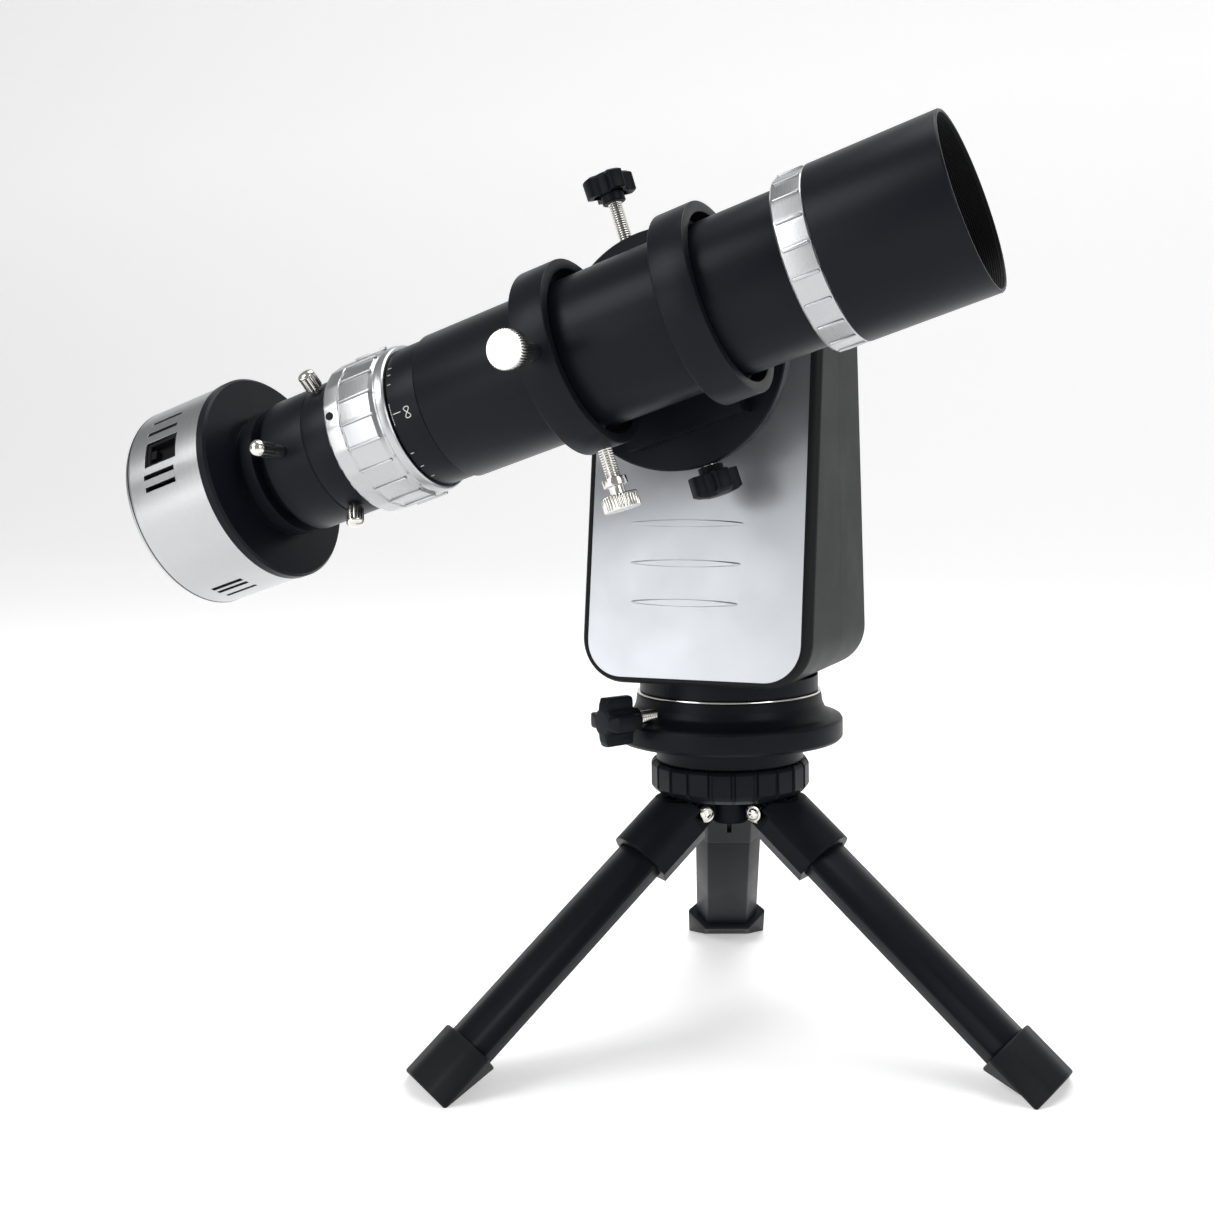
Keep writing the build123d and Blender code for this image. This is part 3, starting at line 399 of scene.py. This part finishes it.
def scope_body():
    """Plain tube, ribbed objective cell, and dew shield with its threaded lining."""
    tube = soften([(28, -73.6), (TUBE_R, -73.6), (TUBE_R, 88.1), (28, 88.1)], 0.25)
    piece("tube_barrel", *turned(TUBE, tube, 160), "turned_black", "scope", "black_anodised",
          ["main_tube"])
    cell = soften([(30.1, 81.3), (33.0, 81.3), (33.4, 81.9), (33.4, 92.8), (33.0, 93.4),
                   (31.3, 93.4), (31.3, 100), (30.1, 100), (30.1, 89.3), (28.6, 89.3),
                   (28.6, 88.2), (30.1, 88.2)], 0.2)
    bars = [ridge(TUBE, CELL_RIDGE + 360 / RIDGES * k, 33.3, 82.4, 92.6, 0.65, 0.65)
            for k in range(RIDGES)]
    facets = faceted(CELL_RIDGE, 32.9)
    piece("objective_cell", *gather(turned(TUBE, cell, 160, facets), *bars), "satin_aluminium",
          "scope", None, ["lens_cell"])
    threads = [(32.2 if k % 2 else 31.95, SHIELD_LIP - 1.5 - THREAD_PITCH * k, 0)
               for k in range(THREADS)]
    lining = [(32.27, 142.4, 0), *threads, (32.0, 112, 0), (31.7, SHIELD_SEAT, 0),
              (32.27, SHIELD_SEAT, 0)]
    piece("shield_lining", *turned(TUBE, soften(lining, 0), 160), "inner_black", "scope",
          "black_anodised")
    shield = soften([(31.35, 93.5), (33.45, 93.5), (SHIELD_R, 93.9), (SHIELD_R, 142.7),
                     (33.3, SHIELD_LIP), (32.6, SHIELD_LIP), (32.3, 143.0), (32.3, 100.1),
                     (31.35, 100.1)], 0.15)
    piece("shield_barrel", *turned(TUBE, shield, 160), "turned_black", "scope", "black_anodised",
          ["dew_shield"])


def ring_band(name, low, high):
    """Mounting ring with eased edges and a foot on the dovetail bar."""
    def at(x, y, h):
        return CENTRE + ALONG * ((low + high) / 2 + x) + ACROSS * y - FRONT * h

    band = soften([(33.2, low), (RING_R, low), (RING_R, high), (33.2, high)], 0.45)
    half = (high - low) / 2
    foot = bend([(-half, -12), (half, -12), (half, 12), (-half, 12)], 0.6, 2)
    both = gather(turned(TUBE, band, 160), prism(foot, 34.6, 38.95, at, 0.3))
    piece(name + "_band", *both, "turned_black", "scope", "black_anodised", [name])


def scale_marks():
    """Index line, distance ticks and the infinity sign on the scale ring."""
    def patch(points, width):
        """Thin painted stroke through (station, angle) points."""
        verts, faces = [], []
        for i, (s, a) in enumerate(points):
            ahead = Vector(points[min(i + 1, len(points) - 1)]) - Vector(points[max(i - 1, 0)])
            ahead.y *= MARK_R * pi / 180
            side = Vector((-ahead.y, ahead.x)).normalized() * width / 2
            for k in (-1, 1):
                for lift in (0.0, 0.06):
                    verts.append(spot(TUBE, MARK_R - 0.04 + lift,
                                      a + k * side.y / MARK_R * 180 / pi, s + k * side.x))
        for i in range(len(points) - 1):
            b = 4 * i
            faces += [[b + 1, b + 5, b + 7, b + 3], [b, b + 2, b + 6, b + 4],
                      [b, b + 4, b + 5, b + 1], [b + 2, b + 3, b + 7, b + 6]]
        end = len(verts)
        faces += [[0, 1, 3, 2], [end - 4, end - 2, end - 1, end - 3]]
        return verts, faces

    strokes = [patch([(MARK_LINE, -0.5), (-82.6, -0.5)], 0.3)]
    strokes += [patch([(MARK_LOW, -9 + 2 * k), (MARK_LOW, -7.6 + 2 * k)], 0.22) for k in range(9)]
    loop = [(INFINITY_AT[0] + 1.15 * sin(2 * t), INFINITY_AT[1] + 4.4 * sin(t))
            for t in (2 * pi * k / 40 for k in range(41))]
    strokes.append(patch(loop, 0.30))
    for angle in (24, 33, 40, -34, -48, -62):
        strokes.append(patch([(-86.4, angle), (-84.9, angle)], 0.26))
    piece("scale_marks", *gather(*strokes), "white_mark", "scope", "satin_aluminium", sharp=60)


def focuser():
    """Scale ring with its marks, the ribbed focus grip with its set screw, and the holder."""
    ring = soften([(25, -104), (26.5, -104), (26.5, -87.5), (28.7, -87.5), (29, -87.1),
                   (29, -74.4), (28.6, -73.95), (28.6, -73.7), (27.9, -73.7), (27.9, -64.6),
                   (25, -64.6)], 0.12)
    piece("scale_barrel", *turned(TUBE, ring, 160), "turned_black", "scope", "black_anodised",
          ["scale_ring"])
    scale_marks()
    grip = soften([(25.2, -116.2), (31.2, -116.2), (31.8, -115.6), (31.8, -109.2), (31.3, -108.9),
                   (31.3, -108.5), (31.6, -108.2), (31.6, -94.2), (30.4, -92.6), (30.4, -91.6),
                   (31.2, -91.0), (30.6, -88.4), (30.0, -87.8), (26.8, -87.8), (26.8, -104.4),
                   (25.2, -104.4)], 0.15)
    bars = [ridge(TUBE, GRIP_RIDGE + 360 / RIDGES * k, 31.6, -108.4, -93.0, 0.55, 0.75)
            for k in range(RIDGES)]
    socket = turned(branch(TUBE, *SET_SCREW),
                    soften([(0, 31.86), (0.8, 31.86), (0.85, 31.92), (1.6, 31.92), (1.65, 31.0),
                            (0, 30.8)], 0.05), 24)
    facets = faceted(GRIP_RIDGE, 31.55)
    piece("focus_grip", *gather(turned(TUBE, grip, 180, facets), *bars), "satin_aluminium",
          "focus_ring", None, ["focus_ring"])
    piece("focus_set_screw", *socket, "black_moulding", "focus_ring")
    holder = soften([(15.95, -152), (25.5, -152, 0.8), (28.2, -151.4, 2.2), (28.2, -130.35, 0.08),
                     (27.85, -130.1, 0), (27.85, -129.9, 0), (28.2, -129.65, 0.08),
                     (28.2, -116.6), (25.0, -116.6), (25.0, -128.1), (15.95, -128.1)], 0.35)
    piece("holder_barrel", *turned(TUBE, holder, 160), "turned_black", "drawtube",
          "black_anodised", ["camera_holder"])


# ---- hand screws and knobs -----------------------------------------------------------------------
THUMBSCREW_STATION = -17.15
HOLDER_SCREW_STATION, NOSE_SCREW_STATION = -125.4, -141.5
HOLDER_SCREW_ANGLES = {"holder_screw_top": 57, "holder_screw_bottom": -65, "holder_screw_rear": 176}
THUMB_R, THUMB_TALL, THUMB_KNURL = 7.5, 6, 0.34
KNOB_R, KNOB_LOBES, SCALLOP = 10.8, 4, 4.1
FAR = 999  # closes a stem's outline well away from its own corners


def knurled(name, body, axis, stem, low, high, r, teeth, depth, dome=0.0):
    """Hand screw: a stem outline, then a straight-knurled head with a domed or flat top."""
    top = [(r - 0.5, high), (0, high)]
    if dome:
        top = [(r * cos(a), high + dome * sin(a)) for a in (pi / 2 * k / 5 for k in range(6))]
        top[-1] = (0, high + dome)
    rows = [(0, stem[0][1])] + soften([(0, -FAR), *stem, (0, FAR)], 0.12)[1:-1]
    rows += [(stem[-1][0], low), (r - 0.45, low), (r, low + 0.45), (r, high - 0.45), *top]
    rough_low, rough_high = low + 0.3, high - 0.2

    def shape(angle, r0, s0):
        if rough_low < s0 < rough_high and r0 > r * 0.9:
            return r0 - depth * abs(sin(radians(angle) * teeth / 2)), s0
        return r0, s0

    piece(name, *turned(axis, rows, teeth * 8, shape), "nickel", body, None, [body], sharp=35)


def screws():
    """Two thumbscrews of the rear ring, three of the camera holder and one on the nose."""
    side_stem = [(2.9, 30.4), (2.9, 38.2), (3.5, 38.3), (3.5, 51.8), (3.5, 53.4), (4.6, 53.6)]
    knurled("side_screw", "ring_screw_side", branch(TUBE, 0, THUMBSCREW_STATION), side_stem,
            54, 54 + THUMB_TALL, THUMB_R, 46, THUMB_KNURL)
    thread = []
    for k in range(12):
        thread += [(2.5, 37.2 + k), (2.95, 37.6 + k), (2.95, 37.8 + k)]
    down_stem = [(2.9, 30.4), (2.9, 36.8), *thread, (2.6, 49.2), (4.9, 49.3), (4.9, 52.4),
                 (3.0, 52.5), (3.0, 55.9)]
    knurled("bottom_screw", "ring_screw_bottom", branch(TUBE, -90, THUMBSCREW_STATION), down_stem,
            56, 56 + THUMB_TALL, THUMB_R, 40, THUMB_KNURL)
    holder_stem = [(1.45, 25.3), (1.45, 28.9), (2.0, 29.0)]
    for name, angle in HOLDER_SCREW_ANGLES.items():
        knurled(name + "_knurl", name, branch(TUBE, angle, HOLDER_SCREW_STATION), holder_stem,
                29.3, 35.8, 3.6, 14, 0.45, dome=1.9)
    nose_stem = [(1.95, 16.4), (1.95, 28.6), (2.6, 28.8), (2.6, 34.8)]
    knurled("nose_screw_knurl", "nose_lock_screw", branch(TUBE, 6, NOSE_SCREW_STATION), nose_stem,
            34.6, 43.0, 3.4, 14, 0.40, dome=3.1)


def lobed_knob(name, body, axis, stud_low, neck_low, low, high, neck_r=5.0):
    """Moulded hand knob with deep scallops, a turned neck and a threaded stud."""
    rows = soften([(0, neck_low), (neck_r, neck_low), (neck_r, low + 1.6), (7.0, low + 1.4),
                   (8.2, low), (10.7, low), (KNOB_R, high - 1.9), (8.6, high - 0.8),
                   (5.0, high - 0.15), (0, high)], 0.35, 3)

    def shape(angle, r0, s0):
        if r0 > neck_r + 0.4 and s0 > low - 0.5:
            share = min(1.0, (r0 - neck_r) / (KNOB_R - neck_r))
            dip = min(1.0, max(0.0, (0.28 - 0.5 * cos(radians(angle) * KNOB_LOBES)) / 0.6))
            return r0 - SCALLOP * share * dip * dip * (3 - 2 * dip), s0
        return r0, s0

    piece(name + "_head", *turned(axis, rows, 144, shape), "black_moulding", body, None, [body],
          sharp=50)
    stud = [(0, stud_low), (2.8, stud_low)]
    for k in range(int(neck_low - stud_low - 0.5)):
        start = stud_low + k
        stud += [(2.55, start + 0.5), (2.95, start + 0.9), (2.95, start + 1.1)]
    stud += [(2.8, neck_low + 0.5), (0, neck_low + 0.5)]
    piece(name + "_stud", *turned(axis, stud, 40), "nickel", body, sharp=60)


def knobs():
    """Upper and lower clamp knobs of the head, and the azimuth lock knob on the base."""
    lobed_knob("upper_knob", "upper_clamp_knob", joint_axis("upper_clamp_knob_turn"),
               21, 67.5, 71, 80.5)
    lobed_knob("lower_knob", "lower_clamp_knob", joint_axis("lower_clamp_knob_turn"),
               12, 50.95, 54, 64, neck_r=5.3)
    turn = joints["azimuth_knob_turn"]
    out = Vector(turn["axis"]).normalized()
    axis = Round(Vector((0, 0, turn["pos_m"][2] / MM)), out, UP, out.cross(UP))
    lobed_knob("azimuth_lock", "azimuth_knob", axis, 37.5, 53, 57, 71.6)


# ---- base ------------------------------------------------------------------------------------
LOCK_RIBS, LOCK_FLAT, LOCK_ROOT = 22, 0.82, 33.6


def base_pieces():
    """Base skirt, its bright trim ring, and the ribbed hand ring under it."""
    skirt = soften([(38, 138.4), (38, 157.2), (41.7, 157.2), (42.0, 156.6), (42.5, 152.8, 3),
                    (43.8, 149.6, 4), (47.0, 147.2, 2), (50.8, 146.2, 0.5), (51.6, 145.0, 0.8),
                    (51.6, 137.4, 0.8), (50.4, 136.0, 0.8), (36, 134.3), (33.5, 134.2),
                    (33.5, 126.5), (12.1, 126.5), (12.1, 138.4)], 0.4, 4)
    piece("skirt_shell", *turned(BASE, skirt, 180), "black_paint", "tripod", None, ["base_skirt"])
    trim = soften([(38.6, 157.3), (41.6, 157.3), (41.9, 157.6), (41.7, 158.2), (38.6, 158.3)], 0.2)
    piece("trim_band", *turned(BASE, trim, 180), "nickel", "tripod", None, ["trim_ring"])
    rows = soften([(6.1, 111.3), (31.6, 111.3), (34.6, 113.2), (36.1, 115.2), (36.1, 124.6),
                   (35.2, 126.1), (34.0, 126.4), (6.1, 126.4)], 0.4)
    pitch = 360 / LOCK_RIBS

    def shape(angle, r0, s0):
        """Flats across most of each pitch, and a groove across the rest."""
        if r0 > LOCK_ROOT:
            phase = (angle / pitch) % 1.0
            groove = 1.15 if phase > LOCK_FLAT else 0.0
            off_middle = pitch * (min(phase, LOCK_FLAT) - LOCK_FLAT / 2)
            flat = cos(radians(pitch * LOCK_FLAT / 2)) / cos(radians(off_middle))
            return r0 * flat - groove * min(1, (r0 - LOCK_ROOT) / 1.2), s0
        return r0, s0

    piece("lock_grip", *turned(BASE, rows, LOCK_RIBS * 17, shape), "black_anodised", "lock_ring",
          None, ["lock_ring"], sharp=25)


def hexed(limit, inside):
    """Shape that gives rows within (or beyond) a radius six flats."""
    def shape(angle, r0, s0):
        if (r0 < limit) == inside and r0 > 0.1:
            return r0 * cos(pi / 6) / cos(radians(angle % 60) - pi / 6), s0
        return r0, s0
    return shape


# Directions along a leg and across it, each as (away from the axis, up); lengths are along it.
LEG_DOWN, LEG_OUT = Vector((0.766, -0.643)), Vector((0.643, 0.766))
LEG_START, LEG_STEP = 21.38 + 90, 120
LEG_ENDS, FOOT_ENDS = (-36, 101), (89.4, 115.3)


def leg_pieces():
    """Extruded legs and their rubber feet, with eased edges; a foot is flat on the ground."""
    leg_outline = [(-16.5, 96.8, 1.2), (-10.3, 89.0, 1.0), (10.3, 89.0, 1.0), (16.5, 96.8, 1.2),
                   (11.5, 101.6, 9), (0, 104.9, 16), (-11.5, 101.6, 9)]
    foot_outline = [(-21.3, 97.1, 1.6), (-11.8, 86.6, 1.6), (11.8, 86.6, 1.6), (21.3, 97.1, 1.6),
                    (14, 103.6, 9), (0, 107.6, 16), (-14, 103.6, 9)]
    for number, name in enumerate(LEGS):
        turn = radians(LEG_START + LEG_STEP * number)
        out = Vector((cos(turn), sin(turn), 0))
        side = Vector((-sin(turn), cos(turn), 0))

        def at(x, y, h):
            place = LEG_DOWN * h + LEG_OUT * y
            return out * place.x + side * x + UP * place.y

        tube = prism(bend(leg_outline, 1, 4), *LEG_ENDS, at, 0.4)
        piece(f"tube_{name}", *tube, "black_paint", f"leg_{name}", None, [f"leg_tube_{name}"])
        verts, faces = prism(bend(foot_outline, 1, 4), *FOOT_ENDS, at, 1.0, 3)
        verts = [Vector((v.x, v.y, max(v.z, 0))) for v in verts]
        piece(f"foot_{name}", verts, faces, "rubber", f"leg_{name}", None, [f"leg_foot_{name}"])


def leg_hardware():
    """Button-head hinge bolts with their nylon-insert nuts."""
    bolts, nuts = [], []
    for name in LEGS:
        axis = joint_axis(f"leg_{name}_fold")
        bolt = [(0, -14.9), (1.9, -14.9), (2.4, -14.4), (2.4, 10.4), (4.5, 10.4), (4.6, 10.8),
                (4.3, 11.8), (3.5, 12.7), (2.4, 13.2), (1.95, 13.2), (1.85, 11.6), (0, 11.4)]
        bolts.append(turned(axis, bolt, 48, hexed(2.0, True)))
        nut = [(2.5, -10.4), (4.2, -10.4), (4.6, -10.8), (4.6, -12.9), (4.1, -13.3), (3.6, -14.3),
               (2.8, -14.5), (2.5, -14.3)]
        nuts.append(turned(axis, nut, 48, hexed(4.15, False)))
    piece("bolt_set", *gather(*bolts), "nickel", "tripod", None, ["hinge_bolts"], sharp=35)
    piece("nut_set", *gather(*nuts), "nickel", "tripod", None, ["hinge_nuts"], sharp=35)


# ---- camera's details ----------------------------------------------------------------------------
PORT = (27.6, -190.7)  # angle and station
CAN_JOINT = -208.3


def camera_details():
    """Black modular socket behind the port, and the joint line round the can's rear rim."""
    port = branch(TUBE, *PORT)

    def at(x, y, h):
        return port.origin + port.zero * x + port.quarter * y + port.along * h

    def block(x0, x1, y0, y1, high, low=38.5):
        return prism([(x0, y0), (x1, y0), (x1, y1), (x0, y1)], low, high, at, 0.15, 1)

    half, inner, tall, wall = 8.2, 6.3, 5.65, 4.2
    bars = [block(-half, half, wall, tall, 42.4), block(-half, half, -tall, -wall, 42.4),
            block(-half, -inner, -4.3, 4.3, 42.4), block(inner, half, -4.3, 4.3, 42.4),
            block(-6.4, 6.4, -4.3, 4.3, 39.2), block(-6.4, -3.6, -2.0, 2.0, 42.0, 39)]
    piece("port_socket", *gather(*bars), "inner_black", "camera", "black_moulding")
    line = soften([(42.9, CAN_JOINT), (43.63, CAN_JOINT), (43.63, CAN_JOINT - 0.32),
                   (42.9, CAN_JOINT - 0.32)], 0.02)
    piece("can_joint_line", *turned(TUBE, line, 180), "inner_black", "camera", "black_moulding")


# ---- arm ---------------------------------------------------------------------------------------
COVER_LEFT, COVER_RIGHT, COVER_LOW, COVER_HIGH = -50.6, 49.0, 167.4, 346.5
# The arm's front and back each lean: a lean, the y at a height, and that height.
FRONT_LEAN, FRONT_Y, FRONT_HEIGHT = 0.144, -44.3, 185
BACK_LEAN, BACK_Y, BACK_HEIGHT = 0.075, 42.4, 184
RIB_X = -4.7
RIBS = ((235.5, 26.2), (218.2, 25.2), (201.2, 24.4))  # height and half length of each
SHELL_SCREWS = ((41, 184), (34, 330), (44, 258))  # distance to each side, and height


def on_front(x, z, h):
    """Place on the arm's sloping front at a height above ground, h in front of its surface."""
    normal = Vector((0, -1, FRONT_LEAN)).normalized()
    return Vector((x, FRONT_Y + FRONT_LEAN * (z - FRONT_HEIGHT), z)) + normal * h


def rib(height, half_long):
    """Raised rib with pointed ends, half sunk in the cover."""
    verts, faces, around, rows = [], [], 20, 41
    for i in range(rows):
        u = -1 + 2 * i / (rows - 1)
        half = 0.06 + 1.5 * sqrt(max(0.0, 1 - abs(u) ** 2.2))
        for k in range(around):
            a = 2 * pi * k / around
            lift = (0.8 if cos(a) > 0 else 0.5) * cos(a) * min(1, half)
            verts.append(on_front(RIB_X + u * (half_long + 0.8), height + half * sin(a),
                                  0.2 + lift))
    for i in range(rows - 1):
        for k in range(around):
            n = (k + 1) % around
            faces.append([i * around + k, i * around + n, (i + 1) * around + n,
                          (i + 1) * around + k])
    faces += [list(range(around))[::-1], [(rows - 1) * around + k for k in range(around)]]
    return verts, faces


def cover_loop(left, right, low, high, low_corner, high_corner):
    """Outline of the silver cover, grown on each side by its own amount."""
    x0, x1 = COVER_LEFT - left, COVER_RIGHT + right
    z0, z1 = COVER_LOW - low, COVER_HIGH + high
    return bend([(x0, z0, low_corner), (x1, z0, low_corner), (x1, z1, high_corner),
                 (x0, z1, high_corner)], 16, 14)


def cover_frame():
    """Dark lip of the front shell round the silver cover."""
    inner = cover_loop(-1.0, -0.2, -1.1, -0.4, 16.2, 31.5)
    outer = cover_loop(0.5, 0.5, 0.4, 0.5, 17.6, 32.5)
    count = len(inner)
    verts = []
    for loop, h in ((inner, -1.0), (inner, 0.45), (outer, 0.45), (outer, -1.0)):
        verts += [on_front(x, z, h) for x, z in loop]
    faces = []
    for layer in range(4):
        for i in range(count):
            j = (i + 1) % count
            a, b = layer * count, ((layer + 1) % 4) * count
            faces.append([a + i, a + j, b + j, b + i])
    piece("cover_frame", verts, faces, "dark_shell", "arm", sharp=30)


def shell_screws():
    """Socket-head screws that hold the rear shell."""
    back = Vector((0, 1, BACK_LEAN)).normalized()
    head = [(0, -0.5), (3.0, -0.5), (3.0, 0.2), (2.6, 0.7), (1.5, 0.95), (1.35, 0.95),
            (1.25, 0.1), (0, 0.05)]
    heads = []
    for half, z in SHELL_SCREWS:
        for x in (-half, half):
            start = Vector((x, BACK_Y - BACK_LEAN * (z - BACK_HEIGHT), z))
            axis = Round(start, back, RIGHT, back.cross(RIGHT))
            heads.append(turned(axis, head, 36, hexed(1.4, True)))
    piece("shell_screws", *gather(*heads), "steel", "arm", sharp=35)


def arm_details():
    piece("cover_ribs", *gather(*(rib(*place) for place in RIBS)), "silver_paint", "arm", sharp=50)
    cover_frame()
    shell_screws()
    seam = ridge(BASE, 246.8, 40.45, 158.8, 165.2, 0.22, 0.2)
    piece("neck_seam", *seam, "inner_black", "arm", "black_moulding")


# ---- camera, floor and light --------------------------------------------------------------------
CAMERA_AT = Vector((252.88, -685.70, 268.21))
CAMERA_TURN, CAMERA_DIP, CAMERA_ROLL = 23.995, 3.491, -0.903
FOCAL_LENGTH, SENSOR = 47.61, 36.0
SHIFT = (-0.01236, -0.04942)


def camera():
    a, p, r = (radians(x) for x in (CAMERA_TURN, CAMERA_DIP, CAMERA_ROLL))
    forward = Vector((-sin(a) * cos(p), cos(a) * cos(p), -sin(p)))
    level = Vector((cos(a), sin(a), 0))
    above = level.cross(forward)
    right = level * cos(r) + above * sin(r)
    up = above * cos(r) - level * sin(r)
    data = bpy.data.cameras.new("camera")
    data.lens, data.sensor_width = FOCAL_LENGTH, SENSOR
    data.shift_x, data.shift_y = SHIFT
    thing = bpy.data.objects.new("camera", data)
    bpy.context.scene.collection.objects.link(thing)
    turn = Matrix((right, up, -forward)).transposed().to_4x4()
    thing.matrix_world = Matrix.Translation(CAMERA_AT * MM) @ turn
    bpy.context.scene.camera = thing


def floor():
    """Paper sweep: flat under the object, then curved up behind it."""
    mesh = bpy.data.meshes.new("floor")
    wide, deep, top, bend_r, steps = 6.0, 3.5, 4.0, 1.2, 16
    rail = [(-deep, 0.0)] + [(deep - bend_r + bend_r * sin(pi / 2 * k / steps),
                              bend_r - bend_r * cos(pi / 2 * k / steps)) for k in range(steps + 1)]
    rail.append((deep, top))
    verts = [(x, y, z) for y, z in rail for x in (-wide, wide)]
    faces = [[2 * i, 2 * i + 1, 2 * i + 3, 2 * i + 2] for i in range(len(rail) - 1)]
    mesh.from_pydata(verts, [], faces)
    mesh.polygons.foreach_set("use_smooth", [True] * len(faces))
    paper = surface("floor_paper", (0.86, 0.86, 0.86), (0.88, 0.88, 0.88), 0.8,
                    specular=0.1, grain=400, bump=0.0, round_edge=0)
    shader = paper.node_tree.nodes["Principled BSDF"]
    shader.inputs["Emission Color"].default_value = (1, 1, 1, 1)
    shader.inputs["Emission Strength"].default_value = 0.38
    mesh.materials.append(paper)
    thing = bpy.data.objects.new("floor", mesh)
    bpy.context.scene.collection.objects.link(thing)


def area_light(name, at, aim, size, power, tall=None):
    data = bpy.data.lights.new(name, "AREA")
    data.shape = "RECTANGLE"
    data.size, data.size_y = size, tall or size
    data.energy = power
    thing = bpy.data.objects.new(name, data)
    bpy.context.scene.collection.objects.link(thing)
    thing.location = at
    thing.rotation_euler = (Vector(aim) - Vector(at)).to_track_quat("-Z", "Y").to_euler()


def lights():
    world = bpy.data.worlds.new("studio")
    bpy.context.scene.world = world
    world.use_nodes = True
    background = world.node_tree.nodes["Background"]
    background.inputs["Color"].default_value = (1, 1, 1, 1)
    background.inputs["Strength"].default_value = 0.32
    target = (0, -0.05, 0.25)
    area_light("key_softbox", (-1.3, -1.6, 1.7), target, 1.2, 24)
    area_light("front_softbox", (-1.0, -2.0, 0.35), target, 1.0, 8)
    area_light("fill_softbox", (1.7, -0.9, 1.0), target, 1.0, 10)
    area_light("top_softbox", (0.1, 0.3, 2.0), target, 1.4, 22)


bpy.context.scene.view_settings.view_transform = "Standard"
dress_cad()
scope_body()
for ring_name, (ring_low, ring_high) in RING_BANDS.items():
    ring_band(ring_name, ring_low, ring_high)
focuser()
screws()
knobs()
base_pieces()
leg_pieces()
leg_hardware()
camera_details()
arm_details()
camera()
floor()
lights()
